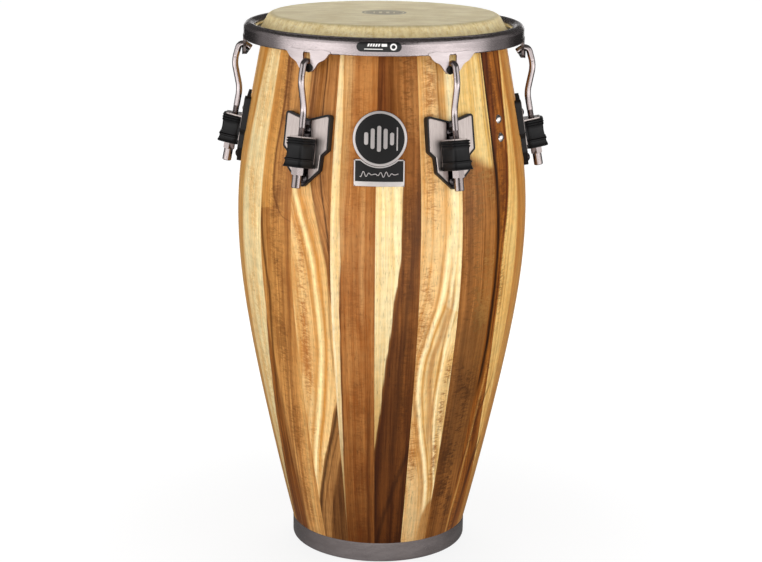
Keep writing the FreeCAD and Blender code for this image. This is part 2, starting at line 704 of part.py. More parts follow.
def skin(thickness):
    """A curved sheet that follows the front of the shell at a small gap."""
    low, high = NAME_PLATE_Z[0] - OVERCUT, BADGE_Z + BADGE_D / 2 + OVERCUT
    heights = [low + (high - low) * i / MARK_STEPS for i in range(MARK_STEPS + 1)]
    sides = [side_radius(z) + MARK_GAP for z in heights]
    near = Part.BSplineCurve()
    near.interpolate([radial(r, z) for r, z in zip(sides, heights)])
    far = Part.BSplineCurve()
    far.interpolate([radial(r + thickness, z) for r, z in zip(reversed(sides), reversed(heights))])
    face = chain_face([
        near,
        Part.LineSegment(near.EndPoint, far.StartPoint),
        far,
        Part.LineSegment(far.EndPoint, near.StartPoint),
    ])
    return front_third(face)


def make_marks():
    centre, front = Vector(0, 0, BADGE_Z), Vector(0, -1, 0)
    disc = Part.makeCylinder(BADGE_D / 2, FAR, centre, front)
    hole = Part.makeCylinder(BADGE_D / 2 + CLEAR, FAR, centre, front)
    badge = skin(BADGE_T).common(disc)
    export("badge", turned(badge, BADGE_AZIMUTH))
    half = NAME_PLATE_W / 2
    low, high = NAME_PLATE_Z
    corners = [Vector(-half, 0, low), Vector(half, 0, low), Vector(half, 0, high), Vector(-half, 0, high)]
    outline = Part.Face(rounded_outline(corners, NAME_PLATE_CORNER)).extrude(Vector(0, -FAR, 0))
    plate = skin(NAME_PLATE_T).common(outline).cut(hole)
    export("name_plate", turned(plate, NAME_PLATE_AZIMUTH))


# ---------------------------------------------------------------- the whole drum


def make_lugs():
    holes = [bolt_hole(PLATE_FRAME, v) for v in BOLT_V]
    lug = lug_solid(holes)
    sleeve = sleeve_solid()
    rod = rod_solid()
    nut = nut_solid()
    for i, azimuth in enumerate(LUG_AZIMUTHS):
        export("lug_%d" % (i + 1), turned(lug, azimuth))
        export("sleeve_%d" % (i + 1), turned(sleeve, azimuth))
        export("rod_%d" % (i + 1), turned(rod, azimuth))
        export("nut_%d" % (i + 1), turned(nut, azimuth))
    export("lug_gaskets", Part.makeCompound(at_lugs(gasket_solid(holes))))


def shell_holes():
    """Every bolt hole through the shell."""
    at_lug = [hole for v in BOLT_V for hole in at_lugs(bolt_hole(PLATE_FRAME, v))]
    at_side = [turned(bolt_hole(side_frame(z), 0.0), SIDE_BOLT_AZIMUTH) for z in SIDE_BOLT_Z]
    return at_lug + at_side


def main():
    os.makedirs("parts", exist_ok=True)
    make_staves(shell_holes())
    make_foot()
    make_head()
    make_rim()
    make_lugs()
    make_bolts()
    make_marks()


main()
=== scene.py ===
import math
import random

import bmesh
import bpy
from mathutils import Matrix, Vector
from mathutils.bvhtree import BVHTree


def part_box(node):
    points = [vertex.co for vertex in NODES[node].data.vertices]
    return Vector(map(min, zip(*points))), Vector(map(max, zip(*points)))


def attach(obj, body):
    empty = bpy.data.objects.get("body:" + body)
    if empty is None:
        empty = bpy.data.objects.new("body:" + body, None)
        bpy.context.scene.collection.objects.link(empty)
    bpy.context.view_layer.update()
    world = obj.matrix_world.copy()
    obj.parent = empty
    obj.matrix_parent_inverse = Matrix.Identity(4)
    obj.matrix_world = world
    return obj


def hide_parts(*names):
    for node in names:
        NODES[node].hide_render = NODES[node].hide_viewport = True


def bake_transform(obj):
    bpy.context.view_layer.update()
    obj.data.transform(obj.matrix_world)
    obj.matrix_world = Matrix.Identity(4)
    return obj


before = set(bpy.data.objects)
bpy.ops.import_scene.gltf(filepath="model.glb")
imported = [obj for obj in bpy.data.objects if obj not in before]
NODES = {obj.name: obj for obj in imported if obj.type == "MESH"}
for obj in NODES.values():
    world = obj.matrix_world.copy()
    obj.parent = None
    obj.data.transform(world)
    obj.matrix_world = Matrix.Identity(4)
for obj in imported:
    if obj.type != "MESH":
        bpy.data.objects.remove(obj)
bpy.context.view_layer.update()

MM = 0.001
LUG_COUNT = 6


def node_azimuth(name):
    """Where a node stands round the drum, in radians from -Y towards +X, from the middle of its box."""
    low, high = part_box(name)
    return math.atan2(low[0] + high[0], -(low[1] + high[1]))


LUG_AZIMUTHS = [node_azimuth("nut_%d" % i) for i in range(1, LUG_COUNT + 1)]


def tint(code, share=1.0):
    """Linear colour from an sRGB hex code, dimmed to a share of itself."""
    out = []
    for i in (0, 2, 4):
        c = int(code[i:i + 2], 16) / 255
        out.append(share * (c / 12.92 if c <= 0.04045 else ((c + 0.055) / 1.055) ** 2.4))
    return (*out, 1.0)


# ------------------------------------------------------------------ material nodes


class Graph:
    """Builds the node tree of a material or a world."""

    def __init__(self, name, kind="materials"):
        self.owner = getattr(bpy.data, kind).new(name)
        self.owner.use_nodes = True
        self.tree = self.owner.node_tree
        self.tree.nodes.clear()

    def node(self, kind, inputs, **props):
        made = self.tree.nodes.new("ShaderNode" + kind)
        for key, value in props.items():
            setattr(made, key, value)
        for key, value in inputs.items():
            if isinstance(value, bpy.types.NodeSocket):
                self.tree.links.new(value, made.inputs[key])
            else:
                made.inputs[key].default_value = value
        return made

    def math(self, operation, a, b=0.0, c=0.0):
        return self.node("Math", {0: a, 1: b, 2: c}, operation=operation).outputs[0]

    def add(self, a, b):
        return self.math("ADD", a, b)

    def times(self, a, b):
        return self.math("MULTIPLY", a, b)

    def blend(self, *shares):
        """Weighted sum of (value, weight) pairs."""
        total = self.times(*shares[0])
        for value, weight in shares[1:]:
            total = self.math("MULTIPLY_ADD", value, weight, total)
        return total

    def position(self):
        return self.node("TexCoord", {}).outputs["Object"]

    def along(self, vector, direction):
        return self.node("VectorMath", {0: vector, 1: direction}, operation="DOT_PRODUCT").outputs["Value"]

    def vector(self, x, y, z):
        return self.node("CombineXYZ", {0: x, 1: y, 2: z}).outputs[0]

    def scaled(self, vector, x, y, z):
        return self.node("VectorMath", {0: vector, 1: (x, y, z)}, operation="MULTIPLY").outputs[0]

    def noise(self, vector, detail=2.0, rough=0.5, distortion=0.0):
        return self.node("TexNoise", {"Vector": vector, "Scale": 1.0, "Detail": detail, "Roughness": rough,
                                      "Distortion": distortion}).outputs[0]

    def span(self, value, low, high, to_low=0.0, to_high=1.0):
        return self.node("MapRange", {0: value, 1: low, 2: high, 3: to_low, 4: to_high},
                         interpolation_type="SMOOTHSTEP").outputs[0]

    def near_zero(self, value, full, none):
        """1 where a value is closer to zero than full, falling to 0 at none."""
        return self.span(self.math("ABSOLUTE", value), full, none, 1.0, 0.0)

    def window(self, value, start, rise, fall, end):
        """1 between rise and fall, fading to 0 at start and at end."""
        return self.times(self.span(value, start, rise), self.span(value, fall, end, 1.0, 0.0))

    def is_seen(self):
        """1 for what the eye sees at first hand, 0 for light that bounces on."""
        return self.node("LightPath", {}).outputs["Is Camera Ray"]

    def mix(self, factor, a, b, blend="MIX"):
        return self.node("Mix", {0: factor, 6: a, 7: b}, data_type="RGBA", blend_type=blend).outputs[2]

    def shade(self, colour, value):
        """A colour made lighter or darker by a factor."""
        return self.mix(1.0, colour, self.vector(value, value, value), blend="MULTIPLY")

    def curve(self, value, points, low, high):
        """A smooth curve through (input, output) points whose outputs lie between low and high."""
        start, end = points[0][0], points[-1][0]
        share = self.node("MapRange", {0: value, 1: start, 2: end}).outputs[0]
        made = self.node("FloatCurve", {"Value": share})
        line = made.mapping.curves[0]
        scaled = [((x - start) / (end - start), (y - low) / (high - low)) for x, y in points]
        line.points[0].location = scaled[0]
        line.points[1].location = scaled[-1]
        for x, y in scaled[1:-1]:
            line.points.new(x, y)
        made.mapping.update()
        return self.add(self.times(made.outputs[0], high - low), low)

    def bump(self, height, distance):
        return self.node("Bump", {"Height": height, "Distance": distance, "Strength": 1.0}).outputs[0]

    def finish(self, **sockets):
        """Close the graph with a Principled shader; keys are socket names with _ for spaces."""
        named = {key.replace("_", " "): value for key, value in sockets.items()}
        shader = self.node("BsdfPrincipled", named)
        self.node("OutputMaterial", {"Surface": shader.outputs[0]})
        return self.owner


def around(g, position):
    """Angle round the drum's axis in degrees, from -Y towards +X, and the distance from the axis."""
    x, y = g.along(position, (1, 0, 0)), g.along(position, (0, -1, 0))
    angle = g.times(g.math("ARCTAN2", x, y), 180 / math.pi)
    radius = g.math("SQRT", g.add(g.times(x, x), g.times(y, y)))
    return angle, radius


# ------------------------------------------------------------------ wood

STAVES = sum(name.startswith("stave_") for name in NODES)
FIRST_SEAM = -1.3              # azimuth in degrees of the left edge of stave_01
STAVE_WIDTH = 360.0 / STAVES
PATH_LOW, PATH_HIGH = -14.0, 14.0      # the degrees that a painted line may reach
EVERY_ROW = (-100, 900)        # heights in mm that take in the whole board
ROW_FADE = 32.0                # mm over which a streak fades out at its ends
WOOD_RELIEF = 0.08 * MM        # how deep the bump goes


def stave_middle(number):
    return FIRST_SEAM + (number - 0.5) * STAVE_WIDTH


def left(path, light, dark, soft=0.35, strength=1.0, rows=EVERY_ROW):
    """Other wood to the left of a line. Lines are (height in mm, degrees from the board's middle)."""
    return "side", path, (light, dark), -soft, strength, rows


def right(path, light, dark, soft=0.35, strength=1.0, rows=EVERY_ROW):
    """Other wood to the right of a line. rows are the heights that it lies between."""
    return "side", path, (light, dark), soft, strength, rows


def vein(path, half, tone, strength, rows=EVERY_ROW):
    """A soft streak along a line. half is its reach to each side, in degrees."""
    return "vein", path, (tone, tone), half, strength, rows


def flecks(path, half, tone, strength, rows=EVERY_ROW):
    """Short flecks of a tone, thinning out to each side of a line."""
    return "flecks", path, (tone, tone), half, strength, rows


def shifted(path, by):
    """The same line, moved sideways by some degrees."""
    return [(height, degrees + by) for height, degrees in path]


MIDDLE = [(0, 0), (760, 0)]
FLOW_19 = [(0, -7), (120, -6), (220, -3), (330, 1.0), (430, 3.5), (520, 3), (760, 2)]
FLOW_20 = [(0, -12), (100, -10), (150, -7), (200, -3.5), (250, 0.0), (300, 2.4), (350, 3.6), (400, 2.8),
           (440, 1.6), (480, -1.0), (520, -4.6), (560, -7.6), (720, -9)]
DARK_20 = [(0, -13), (70, -9.6), (110, -6), (150, -2), (190, 2.5), (230, 6.5), (280, 9.5), (760, 12)]
EDGE_21 = [(0, -8.5), (100, -7.6), (200, -6.9), (300, -6.5), (380, -5.5), (430, -5.0), (480, -4.8),
           (600, -5.4), (760, -6.6)]
PALE_1 = [(0, -9.8), (130, -9.0), (200, -7.2), (300, -4.4), (400, -1.9), (460, 0.6), (520, 1.7), (565, 1.9),
          (600, -2.0), (640, -9.6), (760, -9.6)]
FLOW_2 = [(0, 4), (100, 3.4), (150, 0.6), (200, -3.2), (240, -5.4), (270, -6.6), (300, -6.4), (340, -4.0),
          (370, -1.6), (400, 0.6), (450, 2.0), (560, 2.9), (760, 2.0)]
SECOND_2 = [(0, 9), (110, 8.4), (150, 6.2), (200, 4.0), (240, 2.9), (280, 2.8), (320, 3.7), (360, 5.4),
            (400, 6.9), (450, 7.6), (760, 7.4)]
GOLD_4 = [(0, 12), (110, 9), (160, 5.4), (200, 2.8), (250, 0.4), (300, -1.6), (350, -2.8), (400, -3.1),
          (450, -2.6), (500, -0.6), (550, 1.4), (600, 2.9), (650, 4.6), (700, 7.0), (760, 8.5)]
BLACK_4 = [(0, -13), (200, -9.6), (250, -7.8), (300, -6.9), (400, -6.9), (500, -6.8), (560, -7.4),
           (620, -8.4), (760, -8.6)]

# The boards on the badge's side of the drum. base is the (light, dark) pair of tones that the grain
# runs through, and flow the line that the grain follows. low is painted light and shade at the board's
# foot: how bright the board is painted there, as a share, and the height in m over which that fades.
# paint is the other woods and streaks on it.
BOARDS = {
    17: dict(base=("dcaa62", "b87d3c"), low=(0.9, 0.3)),
    18: dict(base=("efd9a4", "deb678"), low=(0.9, 0.3), paint=[
        left([(0, -14), (480, -12), (520, -10), (620, -7), (680, -4.6), (760, -2.0)], "cf9442", "b0722c",
             soft=1.2),
        flecks(MIDDLE, 9.0, "c08a44", 0.5),
        right([(0, -9), (50, -8), (100, -5.5), (150, -2.5), (200, 0.6), (250, 3.4), (300, 5.4), (350, 7.4),
               (420, 9.4), (760, 12)], "a8672c", "5e3212", soft=0.5),
        right([(0, -9), (60, -5), (120, -1), (170, 4), (230, 9), (300, 12), (760, 13)], "8a4c18", "4c2608",
              soft=2.4, strength=0.7),
        vein([(0, -4), (100, -1), (200, 4.0), (300, 8.4), (760, 12)], 1.0, "3e1c06", 0.6, rows=(0, 330)),
        vein([(0, 2), (100, 4.4), (200, 7.4), (300, 9), (760, 12)], 1.1, "b5763a", 0.5, rows=(0, 230)),
    ]),
    19: dict(base=("c58a48", "935a26"), low=(1.5, 0.45), flow=FLOW_19, paint=[
        left([(0, -13), (500, -13), (512, -9), (524, 0.0), (560, -1.8), (650, -1.0), (760, -2.4)], "dba055",
             "b67a38", soft=0.6),
        vein([(0, 12), (490, 12), (506, 4.6), (522, 0.8), (545, -1.3), (600, -1.5), (650, -0.6),
              (760, -2.6)], 1.1, "5e3010", 0.8, rows=(500, 900)),
        vein([(0, 12), (560, 9), (620, 3.4), (680, 1.0), (760, 1.5)], 1.3, "6e3c12", 0.7),
        vein([(0, -9.5), (280, -8.6), (330, -7.0), (370, -5.4), (400, -5.0), (430, -6.0), (460, -7.0),
              (500, -8.0), (760, -9.5)], 1.5, "4e2808", 0.85, rows=(260, 520)),
        vein([(0, -10), (100, -7), (200, -3.5), (300, 0.8), (350, 2.2), (400, 3.6), (760, 5)], 1.3, "74421a",
             0.6, rows=(0, 430)),
        vein([(0, -9.5), (100, -5.2), (200, -1.2), (300, 3.0), (360, 5.6), (430, 6.8), (760, 8)], 1.0,
             "74421a", 0.5, rows=(0, 470)),
        vein([(0, 2), (100, 4), (200, 6), (300, 8), (760, 8)], 1.6, "c89a58", 0.5, rows=(0, 300)),
        left([(0, -6.5), (120, -5.6), (240, -6.6), (320, -8.6), (760, -12)], "7e4a20", "5a3010", soft=1.2,
             strength=0.7),
        flecks(MIDDLE, 9.0, "5a300e", 0.55),
    ]),
    20: dict(base=("e6bc7c", "c58a46"), low=(1.3, 0.45), flow=FLOW_20, paint=[
        flecks([(0, -5), (250, -5), (500, -5), (560, -12), (760, -13)], 5.0, "9a5620", 0.8, rows=(140, 500)),
        right([(0, 14), (380, 11), (400, 8.8), (450, 6.4), (500, 3.4), (550, 0.2), (600, -2.4), (650, -4.0),
               (760, -5.4)], "bf8246", "7e4a1c", soft=0.7),
        vein(shifted(FLOW_20, -2.4), 0.9, "b9762c", 0.6, rows=(120, 560)),
        vein(FLOW_20, 1.7, "ffe4a4", 0.8, rows=(120, 620)),
        vein(shifted(FLOW_20, 2.5), 1.2, "bf7c2e", 0.75, rows=(140, 620)),
        vein(shifted(FLOW_20, 4.6), 0.9, "f0c884", 0.5, rows=(180, 480)),
        vein([(0, 13), (400, 9.4), (450, 8.0), (500, 6.6), (550, 4.6), (600, 3.4), (760, 2.2)], 0.7,
             "431f08", 0.85),
        vein([(0, 13), (400, 9), (500, 3.4), (560, 0.2), (640, -2.0), (760, -3.0)], 0.8, "6e3e14", 0.6),
        vein([(0, 8.4), (760, 7.4)], 0.8, "74400f", 0.55, rows=(300, 900)),
        right(DARK_20, "ac763e", "7c4c22", soft=0.3),
        vein(shifted(DARK_20, 1.5), 1.9, "3a1e08", 0.85),
        vein(shifted(DARK_20, 4.6), 0.8, "5a3414", 0.6),
        right(shifted(DARK_20, 9.0), "7a4a20", "47260c", soft=0.9),
    ]),
    21: dict(base=("b87c42", "8b4e1c"), low=(0.47, 0.36), paint=[
        left([(0, -9), (300, -7), (420, -5.4), (470, -3.6), (560, -3.0), (760, -2.0)], "d8ab70", "b07c40",
             soft=1.3, strength=0.8),
        left(EDGE_21, "f4deb0", "e2bc7e", soft=0.3),
        vein(shifted(EDGE_21, 0.5), 0.7, "54290c", 0.8, rows=(160, 450)),
        vein([(0, 3.0), (400, 4.0), (460, 3.8), (520, 4.2), (760, 3.0)], 1.6, "d9a466", 0.45,
             rows=(380, 560)),
        vein([(0, 8.3), (760, 8.3)], 0.5, "7e4a1c", 0.6),
        vein([(0, 5), (90, 5.6), (200, 6.0), (760, 7)], 1.8, "3e1c06", 0.4, rows=(0, 260)),
        flecks([(0, 1), (760, 1)], 8.0, "7a451a", 0.5),
    ]),
    1: dict(base=("935a28", "5e320e"), low=(0.44, 0.44), paint=[
        left([(0, -14), (600, -12), (640, -3.4), (690, -4.6), (760, -5.0)], "6e3a16", "431f08", soft=2.0,
             strength=0.9),
        right([(0, 14), (580, 12), (640, 2.0), (700, -1.0), (760, -1)], "ae763e", "8c5424", soft=3.0,
              strength=0.8),
        vein([(0, -2), (300, 2.0), (400, 3.8), (500, 7.4), (600, 9.5), (760, 11)], 2.4, "4e2a0e", 0.65,
             rows=(150, 620)),
        flecks([(0, 4), (760, 4)], 7.0, "54300f", 0.6),
        vein(shifted(PALE_1, 3.5), 6.0, "3e1c08", 0.5, rows=(130, 360)),
        vein(shifted(PALE_1, 1.5), 2.4, "4a240a", 0.75, rows=(60, 430)),
        left(PALE_1, "f2dfae", "e0bc7e", soft=0.3),
        vein(shifted(PALE_1, 0.4), 0.5, "7e4e22", 0.5),
        vein([(0, -9), (60, -4.5), (100, 0.0), (140, 4.0), (180, 8.5), (240, 12), (760, 14)], 2.2, "2c1406",
             0.5, rows=(20, 240)),
    ]),
    2: dict(base=("e8c084", "c8904c"), low=(1.12, 0.3), flow=FLOW_2, paint=[
        flecks([(0, -6.5), (330, -6.5), (500, -4.6), (760, -4.0)], 5.4, "9a5a22", 0.8),
        right(FLOW_2, "efcf94", "d0a058", soft=0.5),
        right([(0, 13), (370, 12), (400, 1.6), (450, 2.8), (560, 3.6), (760, 3.0)], "f6e4b4", "e6c486",
              soft=0.8, strength=0.9, rows=(360, 900)),
        vein([(0, 4), (240, 0.0), (300, -1.8), (350, 1.6), (400, 3.6), (760, 4)], 2.4, "a0642a", 0.65,
             rows=(180, 400)),
        vein(shifted(FLOW_2, -1.9), 1.2, "a86c2c", 0.65, rows=(80, 460)),
        vein(FLOW_2, 1.3, "ffe8b4", 0.85, rows=(90, 480)),
        vein(shifted(FLOW_2, 1.9), 0.9, "b8782e", 0.6, rows=(90, 460)),
        vein(shifted(SECOND_2, -1.5), 1.0, "a8682a", 0.65, rows=(80, 430)),
        vein(SECOND_2, 1.0, "fbe6b2", 0.8, rows=(80, 480)),
        flecks([(0, 6), (300, 7), (360, 9), (760, 9)], 3.0, "8a4c18", 0.9, rows=(120, 320)),
        vein([(0, 10), (560, 6), (620, 0.4), (680, -0.4), (760, -1)], 0.9, "7e460f", 0.6, rows=(560, 900)),
        right([(0, 1.0), (50, 1.6), (84, 5.0), (110, 10), (760, 14)], "b87c38", "8a4e1a", soft=1.2,
              strength=0.8, rows=(0, 110)),
    ]),
    3: dict(base=("b0743a", "794618"), low=(0.72, 0.50), paint=[
        flecks(MIDDLE, 14.0, "4a2a0e", 0.85),
        flecks([(0, 5), (760, 5)], 12.0, "c08c4a", 0.5, rows=(300, 700)),
        right([(0, 14), (560, 12), (574, 6.0), (590, -1.0), (604, -8.0), (620, -12), (760, -14)], "edcf8c",
              "d4a656", soft=5.0),
        vein([(0, 9), (500, 8.4), (640, 8.0), (760, 7.4)], 0.9, "6e3e16", 0.6),
        vein([(0, -3), (760, -5)], 2.0, "5a3414", 0.4, rows=(0, 560)),
        vein(MIDDLE, 24.0, "3f2812", 0.42, rows=(140, 370)),
    ]),
    4: dict(base=("ac6826", "70390e"), low=(1.1, 0.3), flow=GOLD_4, paint=[
        left([(0, -13), (560, -10), (600, -5.0), (680, -3.6), (760, -3.0)], "8a4a1c", "451c06", soft=0.8),
        vein([(0, 14), (560, 8), (600, 0.4), (660, -0.6), (760, -1.6)], 1.6, "b8702c", 0.7, rows=(540, 900)),
        vein([(0, 14), (560, 10), (600, 5.6), (660, 3.0), (760, 2.0)], 1.1, "45200a", 0.8, rows=(540, 900)),
        right(GOLD_4, "f2cb80", "d29c50", soft=0.4),
        vein(shifted(GOLD_4, -1.4), 1.3, "561f06", 0.85, rows=(300, 900)),
        vein(shifted(GOLD_4, 2.6), 0.9, "bf8034", 0.6),
        vein(shifted(GOLD_4, 5.2), 0.8, "c48a3e", 0.5),
        vein(BLACK_4, 2.2, "240e02", 1.0, rows=(250, 900)),
        vein(shifted(BLACK_4, 3.4), 0.9, "c07c34", 0.5, rows=(180, 480)),
        vein([(0, -12), (120, -9), (180, -5), (230, 0), (280, 6), (760, 14)], 1.6, "4e2408", 0.7,
             rows=(60, 260)),
        vein([(0, -1), (60, 0.4), (110, 2.0), (150, 6.0), (200, 12), (760, 14)], 2.6, "4e2408", 0.8,
             rows=(0, 200)),
        vein([(0, -7.5), (100, -6.4), (200, -4.6), (300, -3.0), (760, -3)], 1.4, "d8a056", 0.6,
             rows=(0, 280)),
        vein([(0, 1.6), (90, 2.5), (140, 3.4), (200, 4.6), (760, 5)], 2.2, "3c1c08", 0.75, rows=(95, 170)),
        flecks([(0, -3), (760, -3)], 6.0, "431e08", 0.6),
    ]),
    5: dict(base=("dba258", "b06e2c"), low=(0.85, 0.3)),
    6: dict(base=("ae7238", "7e4820"), low=(0.5, 0.4)),
}


def wood(number, base, low, flow=MIDDLE, paint=()):
    """Lacquered board: streaked woods that meet along wandering lines, with fibres, pores and curl."""
    g = Graph("wood_%02d" % number)
    middle = math.radians(stave_middle(number))
    position = g.position()
    u = g.along(position, (math.cos(middle), math.sin(middle), 0.0))
    out = g.along(position, (math.sin(middle), -math.cos(middle), 0.0))
    z = g.along(position, (0, 0, 1))
    height = g.times(z, 1000.0)
    theta = g.times(g.math("ARCTAN2", u, out), 180 / math.pi)
    seed = 3.7 * number

    def line(path):
        return g.times(g.curve(height, path, PATH_LOW, PATH_HIGH), -1.0)

    def grain(across, per_across, per_z, offset, **look):
        return g.noise(g.vector(g.times(across, per_across), g.times(z, per_z), seed + offset), **look)

    slow = grain(u, 16.0, 6.0, 0, detail=3.0)
    warped = g.add(theta, g.blend((slow, 3.0), (1.0, -1.5)))
    lines = g.add(warped, line(flow))
    streaks = grain(lines, 0.34, 3.2, 5, detail=5.0, rough=0.6)
    rings = grain(lines, 1.5, 3.6, 9, detail=4.0, rough=0.62)
    fine = grain(u, 430.0, 20.0, 0, detail=4.0, rough=0.65)
    pores = grain(u, 760.0, 105.0, 2, detail=1.0)
    curl = grain(u, 60.0, 130.0, 4, detail=3.0)
    cloud = grain(u, 30.0, 14.0, 7, detail=3.0)
    speck = grain(u, 300.0, 75.0, 12, detail=4.0, rough=0.7)
    ripple = grain(u, 110.0, 300.0, 15, detail=4.0, rough=0.7, distortion=0.6)
    streak = g.span(g.blend((streaks, 0.36), (rings, 0.30), (cloud, 0.20), (speck, 0.14)), 0.40, 0.60)
    ragged = g.blend((rings, 1.2), (fine, 0.9), (slow, 0.6), (1.0, -1.35))
    edge = g.add(warped, ragged)
    colour = g.mix(streak, *map(tint, base))
    for kind, path, tones, reach, strength, rows in paint:
        beyond = g.add(edge, line(path))
        other = g.mix(streak, *map(tint, tones))
        if kind == "side":
            share = g.span(beyond, -abs(reach), abs(reach), float(reach < 0), float(reach > 0))
        else:
            share = g.near_zero(beyond, 0.0, reach)
        if kind == "flecks":
            share = g.times(share, g.span(g.blend((ripple, 0.55), (cloud, 0.45)), 0.47, 0.60))
        if rows != EVERY_ROW:
            ends = [row + fade for row in rows for fade in (-ROW_FADE, ROW_FADE)]
            share = g.times(share, g.window(height, *ends))
        colour = g.mix(g.times(share, strength), colour, other)
    tone = g.blend((fine, 0.70), (curl, 0.36), (cloud, 0.34), (speck, 0.60), (1.0, 0.0))
    tone = g.add(tone, g.span(pores, 0.60, 0.76, 0.0, -0.30))
    # painted light and shade at the foot: the board is painted brighter or darker towards the floor
    foot, top = low
    share = g.span(z, 0.0, top, foot, 1.0)
    painted_foot_light = g.vector(share, g.math("POWER", share, 1.3), g.math("POWER", share, 1.8))
    colour = g.mix(1.0, colour, painted_foot_light, blend="MULTIPLY")
    relief = g.blend((fine, 0.5), (g.span(pores, 0.60, 0.74), -0.6), (curl, 0.3))
    roughness = g.blend((curl, 0.12), (fine, 0.10), (1.0, 0.24))
    return g.finish(Base_Color=g.shade(colour, tone), Roughness=roughness,
                    Normal=g.bump(relief, WOOD_RELIEF), Coat_Weight=0.05, Coat_Roughness=0.18,
                    Specular_IOR_Level=0.1)


def spare_board(number):
    """A board away from the badge: one of the others' tones with lines of its own."""
    rng = random.Random(number)
    model = BOARDS[rng.choice([17, 18, 19, 20, 21, 2, 3, 4, 5, 6])]
    other = BOARDS[rng.choice([18, 21, 1, 2, 3, 4])]
    start, drift = rng.uniform(-6.0, 9.0), rng.uniform(-7.0, 7.0)
    low_drift, high_drift = -drift * rng.uniform(-0.4, 1.0), drift * rng.uniform(-0.6, 1.0)
    top_drift = drift * rng.uniform(0.6, 1.4)
    edge = [(0, start - drift), (220, start + low_drift), (430, start + high_drift), (600, start + drift),
            (760, start + top_drift)]
    edge = [(height, max(-12.0, min(12.0, degrees))) for height, degrees in edge]
    flow = [(height, degrees / 2) for height, degrees in edge]
    paint = [
        right(edge, *other["base"], soft=rng.uniform(0.3, 0.9)),
        vein(shifted(edge, -1.0), 0.9, "6b3b16", 0.6),
        vein(shifted(edge, 1.6), 0.8, "f0cd90", 0.35),
    ]
    return dict(base=model["base"], low=model["low"], flow=flow, paint=paint)


def make_wood():
    for number in range(1, STAVES + 1):
        board = BOARDS.get(number) or spare_board(number)
        assign(["stave_%02d" % number], wood(number, **board))


def assign(names, material):
    """Give CAD nodes a material in place of any other."""
    for name in names:
        NODES[name].data.materials.clear()
        NODES[name].data.materials.append(material)


# ------------------------------------------------------------------ metal, rubber, hide and print

BRUSHED_RELIEF = 0.02 * MM     # how deep each of these materials' bump goes
POLISHED_RELIEF = 0.006 * MM
PLATE_RELIEF = 0.01 * MM
PRINT_RELIEF = 0.02 * MM
HIDE_RELIEF = 0.35 * MM
HEAD_MARK_R = 31.0 * MM
HEAD_RING = (25.5 * MM, 26.0 * MM, 27.5 * MM, 28.0 * MM)      # where the printed ring fades in and out
FOLD_BAND = (150.0 * MM, 156.0 * MM, 156.0 * MM, 160.0 * MM)  # and the same for the darker band along the fold
FLAT_END = (151.5 * MM, 159.0 * MM)    # the playing face turns into the collar between these radii
CHANNEL_HALF = (7.2 * MM, 8.8 * MM)    # half width of a lug's sunk channel, and where the wing starts


def brushed(name, code, rough, dark):
    """Steel brushed round the drum, with fine lines and a slow drift in tone."""
    g = Graph(name)
    position = g.position()
    angle, radius = around(g, position)
    z = g.along(position, (0, 0, 1))
    fine = g.vector(g.times(angle, 0.4), g.times(z, 2400.0), g.times(radius, 2400.0))
    broad = g.vector(g.times(angle, 0.06), g.times(z, 90.0), g.times(radius, 20.0))
    lines = g.noise(fine, detail=3.0, rough=0.7)
    drift = g.noise(broad, detail=2.0)
    colour = g.mix(g.span(g.blend((lines, 0.5), (drift, 0.5)), 0.35, 0.65), tint(code), tint(dark))
    roughness = g.blend((lines, 0.16), (drift, 0.06), (1.0, rough - 0.11))
    return g.finish(Base_Color=colour, Metallic=1.0, Roughness=roughness,
                    Normal=g.bump(lines, BRUSHED_RELIEF))


def polished(name, code, rough):
    """Plated metal: nearly even, with faint hazy patches and hairline scratches."""
    g = Graph(name)
    position = g.position()
    haze = g.noise(g.scaled(position, 55.0, 55.0, 30.0), detail=3.0)
    hair = g.noise(g.scaled(position, 900.0, 900.0, 60.0), detail=3.0, rough=0.7)
    colour = g.mix(g.span(haze, 0.3, 0.7), tint(code), tint(code, 0.9))
    roughness = g.blend((haze, 0.05), (hair, 0.08), (1.0, rough - 0.065))
    return g.finish(Base_Color=colour, Metallic=1.0, Roughness=roughness,
                    Normal=g.bump(hair, POLISHED_RELIEF))


def plate_metal(name, azimuth):
    """A lug's brushed steel, glossier in its middle channel, where a dark reflection is painted into the
    colour, black to one side and grey to the other.
    """
    g = Graph(name)
    position = g.position()
    across = g.along(position, (math.cos(azimuth), math.sin(azimuth), 0.0))
    outward = g.along(position, (math.sin(azimuth), -math.cos(azimuth), 0.0))
    z = g.along(position, (0, 0, 1))
    hair = g.vector(g.times(across, 1900.0), g.times(z, 45.0), g.times(outward, 60.0))
    hair = g.noise(hair, detail=3.0, rough=0.7)
    depth = g.blend((outward, 1.0), (z, math.tan(PLATE_LEAN)))
    middle = g.near_zero(across, *CHANNEL_HALF)
    # mask of the middle channel: glossier there, and painted dark as a reflection
    channel_gloss_and_painted_dark = g.times(middle, g.span(depth, PLATE_DEPTH - 0.6 * MM, PLATE_DEPTH, 1.0, 0.0))
    pale = g.mix(g.span(hair, 0.3, 0.7), tint("b6aba6"), tint("9e938f"))
    # painted dark reflection in the channel, near black on one side and grey on the other
    dark = g.mix(g.span(across, -7.0 * MM, 8.0 * MM), tint("151213"), tint("5a5354"))
    roughness = g.blend((hair, 0.12), (channel_gloss_and_painted_dark, -0.10), (1.0, 0.26))
    return g.finish(Base_Color=g.mix(channel_gloss_and_painted_dark, pale, dark), Metallic=1.0, Roughness=roughness,
                    Normal=g.bump(hair, PLATE_RELIEF))


